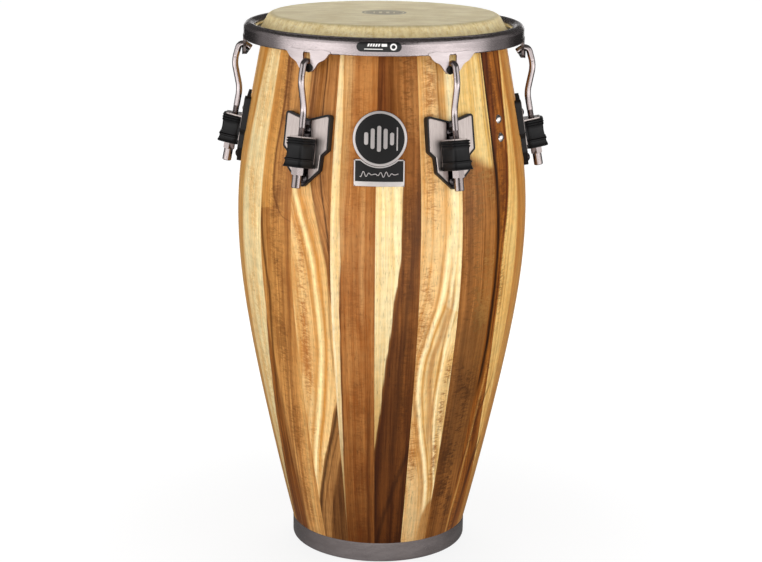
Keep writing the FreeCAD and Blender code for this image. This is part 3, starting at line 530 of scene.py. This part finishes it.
def moulded(name, code, rough, grain, specular=0.3):
    """Rubber or plastic with a fine moulded grain."""
    g = Graph(name)
    position = g.position()
    fine = g.noise(g.scaled(position, 1500.0, 1500.0, 1500.0), detail=2.0)
    broad = g.noise(g.scaled(position, 80.0, 80.0, 80.0), detail=3.0)
    colour = g.mix(g.span(broad, 0.3, 0.7), tint(code), tint(code, 0.7))
    roughness = g.blend((broad, 0.14), (fine, 0.10), (1.0, rough - 0.12))
    return g.finish(Base_Color=colour, Roughness=roughness, Normal=g.bump(fine, grain),
                    Specular_IOR_Level=specular)


def printed(name, code, rough):
    """Printed or enamelled sheet with a slight orange peel."""
    g = Graph(name)
    peel = g.noise(g.scaled(g.position(), 420.0, 420.0, 420.0), detail=2.0)
    colour = g.mix(peel, tint(code), tint(code, 0.92))
    roughness = g.blend((peel, 0.1), (1.0, rough - 0.05))
    return g.finish(Base_Color=colour, Roughness=roughness, Normal=g.bump(peel, PRINT_RELIEF),
                    Specular_IOR_Level=0.35)


def hide():
    """Natural skin: greyish on the flat playing face, warmer on the collar, with pale fibres and pores."""
    g = Graph("hide")
    position = g.position()
    angle, radius = around(g, position)
    z = g.along(position, (0, 0, 1))
    flat = g.span(radius, *FLAT_END, 1.0, 0.0)
    cloud = g.noise(g.scaled(position, 22.0, 22.0, 30.0), detail=5.0, rough=0.6)
    mottle = g.noise(g.scaled(position, 120.0, 120.0, 120.0), detail=4.0, rough=0.6)
    grain = g.noise(g.scaled(position, 900.0, 900.0, 900.0), detail=2.0)
    fibre = g.noise(g.scaled(position, 150.0, 150.0, 150.0), detail=6.0, rough=0.62, distortion=2.4)
    strands = g.near_zero(g.add(fibre, -0.5), 0.0, 0.045)
    brush = g.noise(g.scaled(position, 14.0, 110.0, 0.0), detail=4.0)
    pleat = g.noise(g.vector(g.times(angle, 0.9), g.times(z, 8.0), 3.0), detail=3.0)
    top = g.mix(g.span(g.blend((cloud, 0.55), (brush, 0.45)), 0.36, 0.64), tint("d9c89f"), tint("eee2bd"))
    top = g.mix(g.times(strands, 0.25), top, tint("efe6c8"))
    collar = g.mix(g.span(g.blend((mottle, 0.6), (pleat, 0.4)), 0.36, 0.64), tint("dec282"), tint("fae8b4"))
    patches = g.span(cloud, 0.40, 0.62)
    collar = g.mix(g.times(strands, g.blend((patches, 0.8), (1.0, 0.2))), collar, tint("f8eed0"))
    colour = g.mix(flat, collar, top)
    # a darker band along the fold
    colour = g.mix(g.times(g.window(radius, *FOLD_BAND), 0.35), colour, tint("a08e5e"))
    colour = print_on_head(g, colour, position, radius)
    colour = g.shade(colour, g.blend((grain, 0.24), (mottle, 0.16), (1.0, 0.80)))
    height = g.blend((strands, 0.25), (mottle, 0.5), (grain, 0.35))
    roughness = g.blend((mottle, 0.2), (1.0, 0.45))
    return g.finish(Base_Color=colour, Roughness=roughness, Normal=g.bump(height, HIDE_RELIEF),
                    Specular_IOR_Level=0.25)


def print_on_head(g, colour, position, radius):
    """A grey printed disc in the middle of the head with a pale ring and pale bars in it."""
    worn = g.noise(g.scaled(position, 300.0, 300.0, 1.0), detail=3.0)
    disc = g.span(radius, HEAD_MARK_R - 0.6 * MM, HEAD_MARK_R, 1.0, 0.0)
    ring = g.window(radius, *HEAD_RING)
    x, y = g.along(position, (1, 0, 0)), g.along(position, (0, 1, 0))
    bars = g.span(g.math("PINGPONG", g.add(x, 20.0 * MM), 5.0 * MM), 2.6 * MM, 3.0 * MM)
    bars = g.times(bars, g.near_zero(y, 9.0 * MM, 9.5 * MM))
    bars = g.times(bars, g.near_zero(x, 14.5 * MM, 15.0 * MM))
    colour = g.mix(g.times(disc, g.blend((worn, 0.5), (1.0, 0.55))), colour, tint("9c9484"))
    return g.mix(g.times(g.math("MAXIMUM", ring, bars), 0.75), colour, tint("e2d9bc"))


# ------------------------------------------------------------------ mesh helpers

SHARP_EDGE = math.radians(28)
SAME_FACE = math.radians(0.4)
ROUNDED_EDGE = math.radians(32)


def smooth_nodes():
    """Geometry nodes that shade faces smooth but keep the sharper edges."""
    group = bpy.data.node_groups.new("smooth_shading", "GeometryNodeTree")
    group.interface.new_socket("Geometry", in_out="INPUT", socket_type="NodeSocketGeometry")
    group.interface.new_socket("Geometry", in_out="OUTPUT", socket_type="NodeSocketGeometry")
    make = group.nodes.new
    start, end = make("NodeGroupInput"), make("NodeGroupOutput")
    faces, edges = make("GeometryNodeSetShadeSmooth"), make("GeometryNodeSetShadeSmooth")
    edges.domain = "EDGE"
    angle, small = make("GeometryNodeInputMeshEdgeAngle"), make("FunctionNodeCompare")
    small.operation = "LESS_EQUAL"
    small.inputs[1].default_value = SHARP_EDGE
    group.links.new(start.outputs[0], faces.inputs[0])
    group.links.new(faces.outputs[0], edges.inputs[0])
    group.links.new(angle.outputs[0], small.inputs[0])
    group.links.new(small.outputs[0], edges.inputs["Shade Smooth"])
    group.links.new(edges.outputs[0], end.inputs[0])
    return group


SMOOTH = smooth_nodes()


def dressed(obj, edge=0.0):
    """Round an object's sharp edges by a few tenths of a millimetre and shade it smooth."""
    if edge:
        flat = obj.modifiers.new("flat_faces", "DECIMATE")
        flat.decimate_type = "DISSOLVE"
        flat.angle_limit = SAME_FACE
        bevel = obj.modifiers.new("edges", "BEVEL")
        bevel.width = edge
        bevel.segments = 2
        bevel.limit_method = "ANGLE"
        bevel.angle_limit = ROUNDED_EDGE
        bevel.use_clamp_overlap = True
        bevel.harden_normals = False
    shading = obj.modifiers.new("shading", "NODES")
    shading.node_group = SMOOTH


def placed(name, data):
    """A new object in the scene."""
    obj = bpy.data.objects.new(name, data)
    bpy.context.scene.collection.objects.link(obj)
    return obj


def piece(name, vertices, faces, material, replaced=()):
    """A new piece of the drum with its material, shaded smooth; the CAD nodes that it replaces are hidden.
    """
    mesh = bpy.data.meshes.new(name)
    mesh.from_pydata([tuple(v) for v in vertices], [], faces)
    mesh.validate()
    obj = placed(name, mesh)
    mesh.materials.append(material)
    tidy = bmesh.new()
    tidy.from_mesh(mesh)
    bmesh.ops.recalc_face_normals(tidy, faces=tidy.faces)
    tidy.to_mesh(mesh)
    tidy.free()
    dressed(obj)
    if replaced:
        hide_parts(*replaced)
    return obj


def loop_faces(rings, around_count, closed_rings=False, caps=False):
    """Quads between rings of points, and an end face on the first and last ring if they are capped."""
    faces = []
    for i in range(rings if closed_rings else rings - 1):
        here, there = i * around_count, (i + 1) % rings * around_count
        for j in range(around_count):
            k = (j + 1) % around_count
            faces.append((here + j, here + k, there + k, there + j))
    if caps:
        faces.append(tuple(range(around_count - 1, -1, -1)))
        last = (rings - 1) * around_count
        faces.append(tuple(range(last, last + around_count)))
    return faces


def rounded(corners, step, closed=False):
    """Points along straight runs with an arc at each corner; corners are (x, y, radius)."""
    points = []
    count = len(corners)
    for i, (x, y, radius) in enumerate(corners):
        corner = Vector((x, y))
        if not radius or (not closed and i in (0, count - 1)):
            points.append(corner)
            continue
        before = (Vector(corners[i - 1][:2]) - corner).normalized()
        after = (Vector(corners[(i + 1) % count][:2]) - corner).normalized()
        half = before.angle(after) / 2
        reach = radius / math.tan(half)
        centre = corner + (before + after).normalized() * (radius / math.sin(half))
        start, end = corner + before * reach - centre, corner + after * reach - centre
        sweep = start.angle_signed(end)
        steps = max(2, math.ceil(abs(sweep) * radius / step))
        for k in range(steps + 1):
            points.append(centre + Matrix.Rotation(-sweep * k / steps, 2) @ start)
    return points


def divided(points, step):
    """The same line with its long runs divided."""
    out = [points[0]]
    for a, b in zip(points, points[1:]):
        count = max(1, math.ceil((b - a).length / step))
        out += [a.lerp(b, k / count) for k in range(1, count + 1)]
    return out


def directions(points):
    """Unit direction of a line at each of its points."""
    out = []
    for i in range(len(points)):
        out.append((points[min(i + 1, len(points) - 1)] - points[max(i - 1, 0)]).normalized())
    return out


def at_azimuth(azimuth, r, z, across=0.0):
    """A point at a distance from the drum's axis, a height, and a distance across, in metres."""
    sine, cosine = math.sin(azimuth), math.cos(azimuth)
    return Vector((r * sine + across * cosine, -r * cosine + across * sine, z))


# ------------------------------------------------------------------ head

HIDE_T = 2.0 * MM
HOOP_W = 6.8 * MM              # width of the flesh hoop's section
HOOP_GAP = 0.3 * MM            # between the hoop and the hide tucked round it
FOLD_R = 157.5 * MM            # where the flat face and the collar would meet without their fold
FOLD_ROUND = 10.2 * MM
WRAP_ROUND = 1.8 * MM
HEAD_SECTORS = 288
PLEAT_WAVES = 26
PLEAT_DEPTH = 0.22 * MM


def make_head():
    """The hide: flat playing face, collar with pleats that grow downwards, and tuck round the flesh hoop."""
    hoop_low, hoop_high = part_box("flesh_hoop")
    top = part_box("drumhead")[1][2]
    reach = HIDE_T / 2 + HOOP_GAP
    outer, inner = hoop_high[0] + reach, hoop_high[0] - HOOP_W - reach
    low, high = hoop_low[2] - reach, hoop_high[2] + reach
    middle = top - HIDE_T / 2
    corners = [(0.5 * MM, middle, 0), (FOLD_R, middle, FOLD_ROUND), (inner, low, WRAP_ROUND),
               (outer, low, WRAP_ROUND), (outer, high, WRAP_ROUND), (inner + WRAP_ROUND, high, 0)]
    line = divided(rounded(corners, 0.6 * MM), 1.4 * MM)
    sides = [Vector((-d.y, d.x)) for d in directions(line)]
    upper = [p + s * HIDE_T / 2 for p, s in zip(line, sides)]
    lower = [p - s * HIDE_T / 2 for p, s in zip(line, sides)]
    section = upper + lower[::-1]
    outward = sides + [-s for s in reversed(sides)]
    rng = random.Random(7)
    waves = []
    for _ in range(PLEAT_WAVES):
        waves.append((rng.randint(9, 120), rng.uniform(0, math.tau), rng.uniform(0.4, 1.0)))
    total = sum(strength for _, _, strength in waves) ** 0.5
    vertices = []
    for point, normal in zip(section, outward):
        share = min(1.0, max(0.0, (middle - 2 * MM - point.y) / (22 * MM)))
        if point.y <= low + 4 * MM or point.x >= inner + 6 * MM:       # none where it is tucked in
            share = 0.0
        for k in range(HEAD_SECTORS):
            a = math.tau * k / HEAD_SECTORS
            push = sum(math.sin(n * a + phase) * strength for n, phase, strength in waves) / total
            push *= share * PLEAT_DEPTH
            vertices.append(at_azimuth(a, point.x + normal.x * push, point.y + normal.y * push))
    faces = loop_faces(len(section), HEAD_SECTORS)
    last_ring = (len(section) - 1) * HEAD_SECTORS
    faces.append(tuple(range(HEAD_SECTORS)))
    faces.append(tuple(range(last_ring + HEAD_SECTORS - 1, last_ring - 1, -1)))
    head = piece("hide_head", vertices, faces, hide(), ["drumhead"])
    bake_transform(head)


# ------------------------------------------------------------------ rods and sleeves

ROD_TILT = math.radians(10.8)
PLATE_LEAN = math.radians(9.3)
LUG_Z = 600.0 * MM             # station height of a lug, where the next two radii are taken
ROD_R_AT_LUG = 210.35 * MM
PLATE_R_AT_LUG = 198.1 * MM
PLATE_DEPTH = PLATE_R_AT_LUG + LUG_Z * math.tan(PLATE_LEAN) - 0.25 * MM / math.cos(PLATE_LEAN)
ROD_R = 4.4 * MM
# Bends from the hook's tip down, in mm: distance from the drum's axis, height, bend radius
ROD_BENDS = [(183.75, 710.7, 0.0), (198.8, 720.5, 7.2), (207.2, 692.5, 42.0), (200.0, 654.3, 46.0)]
ROD_END = -44.0 * MM           # along the leg from the station, upwards
ROD_TIP = 0.8 * MM             # chamfer at each end
THREAD_TOP = 31.0 * MM
THREAD_PITCH = 1.25 * MM
THREAD_DEPTH = 0.6 * MM
THREAD_STEPS = 6               # rings of points in each turn
ROD_SIDES = 28
ROD_MARK_Z = 699.0 * MM        # a shallow ring is rolled into each rod here
ROD_MARK_HALF = 0.7 * MM
ROD_MARK_DEPTH = 0.12 * MM


def make_rod(number, azimuth, material):
    """A hooked rod with a real thread cut on its straight leg."""
    end = (ROD_R_AT_LUG - ROD_END * math.sin(ROD_TILT), LUG_Z + ROD_END * math.cos(ROD_TILT))
    bends = [(r * MM, z * MM, bend * MM) for r, z, bend in ROD_BENDS]
    line = divided(rounded(bends + [(*end, 0)], 0.8 * MM), 2.0 * MM)
    last = Vector(end)
    leg = (last - Vector(line[-2])).normalized()
    thread_start = last - leg * (THREAD_TOP - ROD_END)
    plain = [p for p in line if p.y > thread_start.y]
    steps = int((THREAD_TOP - ROD_END) / THREAD_PITCH * THREAD_STEPS)
    threaded = [thread_start.lerp(last, k / steps) for k in range(steps)]
    threaded = [p for p in threaded if (last - p).length > ROD_TIP]
    first = plain[0]
    tip = first + (plain[1] - first).normalized() * ROD_TIP
    points = without_repeats([first, tip] + plain[1:] + threaded + [last - leg * ROD_TIP, last])
    vertices = []
    for point, heading in zip(points, directions(points)):
        side = Vector((-heading.y, heading.x))
        depth = (last - point).length if point.y < thread_start.y else None
        for k in range(ROD_SIDES):
            a = math.tau * k / ROD_SIDES
            radius = ROD_R
            if (point - first).length < ROD_TIP / 2 or (point - last).length < ROD_TIP / 2:
                radius -= ROD_TIP
            elif abs(point.y - ROD_MARK_Z) < ROD_MARK_HALF:
                radius -= ROD_MARK_DEPTH
            if depth is not None and depth > ROD_TIP:
                phase = (depth / THREAD_PITCH + k / ROD_SIDES) % 1.0
                radius -= THREAD_DEPTH * abs(2 * phase - 1)
            spot = point + side * radius * math.cos(a)
            vertices.append(at_azimuth(azimuth, spot.x, spot.y, radius * math.sin(a)))
    faces = loop_faces(len(points), ROD_SIDES, caps=True)
    rod = piece("tension_rod_%d" % number, vertices, faces, material, ["rod_%d" % number])
    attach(rod, "rod_%d" % number)


def without_repeats(points):
    """The line's points without those that lie on the one before."""
    out = [points[0]]
    for point in points[1:]:
        if (point - out[-1]).length > 0.02 * MM:
            out.append(point)
    return out


def off_rod(azimuth, across, up, out):
    """A point given across, up and out from a rod's axis at its lug's station."""
    sine, cosine = math.sin(ROD_TILT), math.cos(ROD_TILT)
    r, z = ROD_R_AT_LUG - up * sine + out * cosine, LUG_Z + up * cosine + out * sine
    return at_azimuth(azimuth, r, z, across)


# The sleeve's outside from the top lip down to the skirt: height on the rod's axis, swelling, in mm
SLEEVE = [(18.0, -0.9), (17.5, 0.2), (16.7, 0.7), (15.9, 0.3), (15.5, -0.7), (14.6, -0.7), (14.1, 0.4),
          (13.2, 0.8), (12.3, 0.3), (11.9, -0.7), (11.2, -0.7), (10.8, 0.2), (10.0, 0.5), (9.2, 0.1),
          (8.0, -0.6), (5.0, -0.9), (0.0, -1.1), (-5.0, -0.8), (-8.4, -0.3), (-9.0, 0.6), (-9.9, 1.2),
          (-10.8, 1.2), (-11.6, 0.5), (-12.2, 0.2), (-14.0, 0.2), (-16.5, 0.6), (-18.6, 1.3), (-19.4, 1.8),
          (-20.3, 1.8), (-20.8, 1.3)]
# Sections in mm: half width outside and inside, how far out, how far in from the rod's axis
SLEEVE_SECTION = (12.4, 18.8, 15.4, 10.6)
SLEEVE_CORNER = 5.6
BLOCK_SECTION = (9.9, 16.8, 12.4, 13.8)        # the lug's block, which the sleeve is hollow for
BLOCK_CORNER = 2.6
CORNER_STEPS = 8
CORNER_PULL = 0.93             # how much of a corner's curve bends towards the corner's own point


def block_outline(section, swell, corner):
    """Rounded trapezoid across the rod's axis, always with the same number of points."""
    half_out, half_in, out, inn = section
    wide_in, wide_out = half_in + swell, half_out + swell
    corners = [(wide_in, -inn), (wide_out, out + swell), (-wide_out, out + swell), (-wide_in, -inn)]
    points = []
    for i, (x, y) in enumerate(corners):
        arc = rounded([(*corners[i - 1], 0), (x, y, corner), (*corners[(i + 1) % 4], 0)], corner)[1:-1]
        a, b = arc[0], arc[-1]
        peak = Vector((x, y)) * CORNER_PULL + (a + b) / 2 * (1 - CORNER_PULL)
        for k in range(CORNER_STEPS + 1):
            t = k / CORNER_STEPS
            points.append(a * (1 - t) ** 2 + peak * 2 * t * (1 - t) + b * t ** 2)
    return points


def make_sleeve(number, azimuth, material):
    """The rubber boot on a lug: ribs round its top, a straight body, one rib and a flared skirt."""
    rings = [(v, block_outline(SLEEVE_SECTION, swell, SLEEVE_CORNER)) for v, swell in SLEEVE]
    block = block_outline(BLOCK_SECTION, 0.0, BLOCK_CORNER)
    rings += [(v, block) for v in (SLEEVE[-1][0], 0.0, SLEEVE[0][0])]
    vertices = []
    for v, outline in rings:
        vertices += [off_rod(azimuth, p.x * MM, v * MM, p.y * MM) for p in outline]
    faces = loop_faces(len(rings), len(rings[0][1]), closed_rings=True)
    sleeve = piece("rubber_sleeve_%d" % number, vertices, faces, material, ["sleeve_%d" % number])
    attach(sleeve, "shell")


# ------------------------------------------------------------------ marks on the front


def circle(cx, cz, radius, count=72):
    """Points round a circle, in mm."""
    angles = [math.tau * k / count for k in range(count)]
    return [(cx + radius * math.cos(a), cz + radius * math.sin(a)) for a in angles]


def bar(cx, cz, width, height, corner, lean=0.0):
    """A rounded bar, its top pushed sideways by the lean."""
    corners = [(cx + side * width / 2, cz + end * height / 2, corner)
               for side, end in ((-1, -1), (1, -1), (1, 1), (-1, 1))]
    return [(p.x + lean * (p.y - cz), p.y) for p in rounded(corners, 0.3, closed=True)]


def ribbon(points, width):
    """A band of even width along a line."""
    line = [Vector(p) for p in points]
    sides = [Vector((-d.y, d.x)) * width / 2 for d in directions(line)]
    one_side = [tuple(p + s) for p, s in zip(line, sides)]
    return one_side + [tuple(p - s) for p, s in zip(line[::-1], sides[::-1])]


MARK_STEP = 2.5                # mm; longer edges of a design are divided, so that it follows its node
MARK_ROOT = 0.05 * MM          # how far a design reaches into its node
BAR_COUNT = 5


def raised(name, loops, node, lift, material, body):
    """A flat design in mm across and up, laid on a curved node and raised from it."""
    azimuth = node_azimuth(node)
    outline = bpy.data.curves.new(name + "_outline", "CURVE")
    outline.dimensions = "2D"
    outline.fill_mode = "BOTH"
    for loop in loops:
        spline = outline.splines.new("POLY")
        spline.points.add(len(loop) - 1)
        for point, (x, z) in zip(spline.points, loop):
            point.co = (x, z, 0, 1)
        spline.use_cyclic_u = True
    holder = placed(name + "_outline", outline)
    mesh = bpy.data.meshes.new_from_object(holder.evaluated_get(bpy.context.evaluated_depsgraph_get()))
    bpy.data.objects.remove(holder)
    design = bmesh.new()
    design.from_mesh(mesh)
    bmesh.ops.remove_doubles(design, verts=design.verts, dist=1e-4)
    for _ in range(5):
        long_edges = [edge for edge in design.edges if edge.calc_length() > MARK_STEP]
        if not long_edges:
            break
        bmesh.ops.subdivide_edges(design, edges=long_edges, cuts=1)
        bmesh.ops.triangulate(design, faces=design.faces)
    base = NODES[node].data
    points = [v.co.copy() for v in base.vertices]
    tree = BVHTree.FromPolygons(points, [tuple(p.vertices) for p in base.polygons])
    inward = Vector((-math.sin(azimuth), math.cos(azimuth), 0.0))
    for vertex in design.verts:
        start = at_azimuth(azimuth, 0.5, vertex.co.y * MM, vertex.co.x * MM)
        hit = tree.ray_cast(start, inward)[0]
        vertex.co = (hit if hit is not None else start + inward * 0.3) - inward * lift
    skirt = bmesh.ops.extrude_face_region(design, geom=list(design.faces))
    for vertex in [item for item in skirt["geom"] if isinstance(item, bmesh.types.BMVert)]:
        vertex.co += inward * (lift + MARK_ROOT)
    bmesh.ops.recalc_face_normals(design, faces=design.faces)
    design.to_mesh(mesh)
    design.free()
    mesh.materials.clear()
    mesh.materials.append(material)
    obj = placed(name, mesh)
    dressed(obj)
    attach(obj, body)
    return obj


def upright(node):
    """Half width, lowest height and top height of a mark's node, in mm."""
    low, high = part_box(node)
    return (high[0] - low[0]) / 2 / MM, low[2] / MM, high[2] / MM


def frame_line(edge, low, top, notch_top, badge_z, gap):
    """A plate's outline with a round notch cut for the badge, which stands over its top edge."""
    arc = math.acos((notch_top - badge_z) / gap)
    angles = [arc + (math.tau - 2 * arc) * k / 60 for k in range(61)]
    notch = [(gap * math.sin(a), badge_z + gap * math.cos(a)) for a in angles]
    return notch + [(-edge, top), (-edge, low), (edge, low), (edge, top)]


def mark_badge(silver):
    """Five rounded bars and a thin one in a ring."""
    low, high = upright("badge")[1:]
    z, r = (low + high) / 2, (high - low) / 2
    heights = (16.0, 26.0, 33.0, 26.0, 16.0)
    bars = [bar((i - 2) * 8.4 - 1.0, z, 5.2, height, 2.4) for i, height in enumerate(heights)]
    bars.append(bar(22.6, z, 1.6, 30.0, 0.7))
    ring = [circle(0, z, r - 0.2), circle(0, z, r - 3.3)]
    raised("badge_ring", ring, "badge", 0.35 * MM, silver, "shell")
    raised("badge_bars", bars, "badge", 0.35 * MM, silver, "shell")
    return z, r


def mark_plate(silver, badge_z, badge_r):
    """A frame, wider along the foot of the plate, and a wave in it."""
    half, low, top = upright("name_plate")
    gap, margin, line, foot = badge_r + 0.5, 0.15, 1.5, 6.2
    outer = frame_line(half - margin, low + margin, top - margin, top, badge_z, gap)
    inner = frame_line(half - margin - line, low + foot, top - line, top - line, badge_z, gap + line)
    raised("plate_frame", [outer, inner], "name_plate", 0.25 * MM, silver, "shell")
    middle = low + 15.6
    wave = [(x / 2, middle + (2.0 + 1.6 * math.sin(x * 0.11)) * math.sin(x * 0.42)) for x in range(-50, 51)]
    raised("plate_wave", [ribbon(wave, 0.8)], "name_plate", 0.2 * MM, silver, "shell")


def mark_label(white):
    """Leaning bars, a long thin bar under them, and a ring."""
    low = upright("rim_label")[1]
    upper, lower, ring = low + 8.6, low + 3.4, (18.6, low + 6.4)
    stripes = [bar(-13.5 + 3.4 * k, upper, 2.2, 3.6, 0.3, lean=0.35) for k in range(BAR_COUNT)]
    stripes += [bar(-7.0, lower, 24.0, 1.0, 0.4), bar(6.8, upper, 7.0, 3.6, 0.4)]
    stripes += [circle(*ring, 4.4, count=48), circle(*ring, 2.6, count=36)]
    raised("label_print", stripes, "rim_label", 0.15 * MM, white, "rim")


def make_marks():
    """Generic designs in place of the maker's."""
    silver = polished("mark_silver", "e6dedb", 0.36)
    white = printed("mark_white", "e9e5e2", 0.4)
    assign(["badge", "name_plate"], printed("mark_black", "141313", 0.32))
    assign(["rim_label"], printed("label_black", "0f0e0e", 0.3))
    badge_z, badge_r = mark_badge(silver)
    mark_plate(silver, badge_z, badge_r)
    mark_label(white)


# ------------------------------------------------------------------ hardware


def make_hardware():
    assign(["rim"], brushed("rim_nickel", "a09696", 0.27, dark="8d8484"))
    assign(["rim_tabs"], brushed("tab_nickel", "aca2a2", 0.32, dark="9c9292"))
    assign(["bottom_band"], brushed("band_nickel", "b2a8a7", 0.24, dark="9a908f"))
    rod_metal = polished("rod_nickel", "a69c9b", 0.2)
    sleeve_rubber = moulded("sleeve_rubber", "100f10", 0.40, 0.00002, specular=0.2)
    numbers = range(1, LUG_COUNT + 1)
    for number, azimuth in zip(numbers, LUG_AZIMUTHS):
        make_rod(number, azimuth, rod_metal)
        make_sleeve(number, azimuth, sleeve_rubber)
        assign(["lug_%d" % number], plate_metal("lug_steel_%d" % number, azimuth))
    assign(["nut_%d" % i for i in numbers], polished("nut_nickel", "988e8c", 0.2))
    assign(["lug_bolts"], polished("bolt_black", "4a4546", 0.16))
    assign(["side_bolts"], polished("bolt_bright", "d8d2cf", 0.16))
    assign(["inner_washers", "inner_nuts"], polished("zinc", "b4b6ba", 0.34))
    assign(["flesh_hoop"], polished("hoop_steel", "8e8e90", 0.3))
    assign(["lug_gaskets"], moulded("gasket_rubber", "131213", 0.5, 0.00002))
    assign(["foot_ring"], moulded("foot_rubber", "1a191a", 0.7, 0.00004))
    assign(["slot_liners"], moulded("liner_plastic", "0c0b0b", 0.34, 0.00001))
    thick = ["lug_%d" % i for i in numbers] + ["nut_%d" % i for i in numbers]
    thin = ["rim_tabs", "slot_liners", "lug_gaskets", "bottom_band", "foot_ring", "badge", "name_plate",
            "rim_label"]
    round_already = ["rim", "flesh_hoop", "lug_bolts", "side_bolts", "inner_washers", "inner_nuts"]
    staves = ["stave_%02d" % number for number in range(1, STAVES + 1)]
    for names, edge in ((thick, 0.3 * MM), (thin, 0.25 * MM), (round_already + staves, 0.0)):
        for name in names:
            dressed(NODES[name], edge)


# ------------------------------------------------------------------ studio

FLOOR_R = 9.0
ROOM_FRONT = 0.16              # brightness of the surroundings in front of the drum
ROOM_BACK = 0.09               # and behind it
WHITE = (1.0, 1.0, 1.0, 1.0)
WARM_WHITE = (1.0, 0.98, 0.97, 1.0)


def make_room():
    """Plain white behind the floor, and a soft dim room elsewhere."""
    g = Graph("studio", "worlds")
    bpy.context.scene.world = g.owner
    back = g.along(g.node("TexCoord", {}).outputs["Generated"], (0, 1, 0))
    glow = g.node("MapRange", {0: back, 1: -0.9, 2: 0.3, 3: ROOM_FRONT, 4: ROOM_BACK}).outputs[0]
    room = g.node("Background", {0: WARM_WHITE, 1: glow}).outputs[0]
    white = g.node("Background", {0: WHITE, 1: 1.0}).outputs[0]
    both = g.node("MixShader", {0: g.is_seen(), 1: room, 2: white}).outputs[0]
    g.node("OutputWorld", {0: both})


def make_floor():
    """A pale glowing floor with a painted shadow under the drum, where its glow is a little dimmer, and
    which throws light back from the front only.
    """
    bpy.ops.mesh.primitive_circle_add(vertices=96, radius=FLOOR_R, fill_type="NGON", location=(0, 0, 0))
    floor = bpy.context.object
    floor.name = "floor"
    g = Graph("floor_paint")
    position = g.position()
    fine = g.noise(g.scaled(position, 3.0, 3.0, 3.0), detail=3.0)
    radius = around(g, position)[1]
    seen = g.is_seen()
    # painted shadow: the floor's glow is dimmer near the drum
    glow = g.span(radius, 0.12, 0.9, 0.86, 1.0)
    ahead = g.along(position, (0, -1, 0))
    bounce = g.add(g.span(ahead, -0.10, 0.35, 0.0, 0.6), g.span(ahead, 0.4, 1.6, 0.0, 1.5))
    glow = g.add(g.times(glow, seen), g.times(bounce, g.math("SUBTRACT", 1.0, seen)))
    grey = g.mix(fine, (0.11, 0.11, 0.11, 1.0), (0.12, 0.12, 0.12, 1.0))
    paint = g.finish(Base_Color=grey, Roughness=0.9, Specular_IOR_Level=0.0, Emission_Color=WHITE,
                     Emission_Strength=glow)
    floor.data.materials.append(paint)


# Azimuth in degrees, height, distance, (width, height) in metres, watts, mirrored in the metal or not
SOFT_BOXES = {
    "key_left": (-56.0, 1.05, 2.5, (3.4, 2.0), 29.0, True),
    "key_right": (56.0, 1.05, 2.5, (3.4, 2.0), 29.0, True),
    "fill_left": (-74.0, 0.9, 2.5, (1.6, 1.6), 10.0, False),
    "fill_right": (74.0, 0.9, 2.5, (1.6, 1.6), 10.0, False),
    "side_left": (-104.0, 0.97, 2.6, (1.4, 1.9), 2.6, True),
    "side_right": (104.0, 0.97, 2.6, (1.4, 1.9), 2.6, True),
    "front": (0.0, 1.9, 2.8, (2.0, 1.0), 15.0, False),
    "behind": (180.0, 2.15, 2.2, (2.6, 1.2), 56.0, False),
    "edge": (180.0, 3.1, 2.0, (3.2, 0.25), 4.0, True),
    "back": (180.0, 0.5, 2.6, (1.8, 0.9), 9.0, True),
}
AIM = Vector((0, 0, 0.45))     # the point that every box faces
CAMERA_LENS = 86.8             # mm, on a sensor 36 mm wide
CAMERA_AZIMUTH = math.radians(1.0)
CAMERA_PITCH = math.radians(14.64)
CAMERA_ROLL = math.radians(0.68)
CAMERA_DISTANCE = 2.5416
CAMERA_HEIGHT = 1.0435


def make_lights():
    for name, (azimuth, height, distance, size, power, mirrored) in SOFT_BOXES.items():
        light = bpy.data.lights.new(name, "AREA")
        light.shape = "RECTANGLE"
        light.size, light.size_y = size
        light.energy = power
        lamp = placed(name, light)
        lamp.visible_camera = False
        lamp.visible_glossy = mirrored
        lamp.location = at_azimuth(math.radians(azimuth), distance, height)
        lamp.rotation_euler = (AIM - lamp.location).to_track_quat("-Z", "Y").to_euler()


def make_camera():
    data = bpy.data.cameras.new("camera")
    data.sensor_width = 36.0
    data.lens = CAMERA_LENS
    camera = placed("camera", data)
    place = at_azimuth(CAMERA_AZIMUTH, CAMERA_DISTANCE, CAMERA_HEIGHT)
    level = Vector((-place.x, -place.y, 0)).normalized()
    ahead = level * math.cos(CAMERA_PITCH) - Vector((0, 0, math.sin(CAMERA_PITCH)))
    right_side = ahead.cross(Vector((0, 0, 1))).normalized()
    up = right_side.cross(ahead)
    x_axis = right_side * math.cos(CAMERA_ROLL) + up * math.sin(CAMERA_ROLL)
    y_axis = up * math.cos(CAMERA_ROLL) - right_side * math.sin(CAMERA_ROLL)
    camera.matrix_world = Matrix.Translation(place) @ Matrix((x_axis, y_axis, -ahead)).transposed().to_4x4()
    bpy.context.scene.camera = camera
    bpy.context.scene.view_settings.view_transform = "Standard"


make_wood()
make_head()
make_hardware()
make_marks()
make_room()
make_floor()
make_lights()
make_camera()
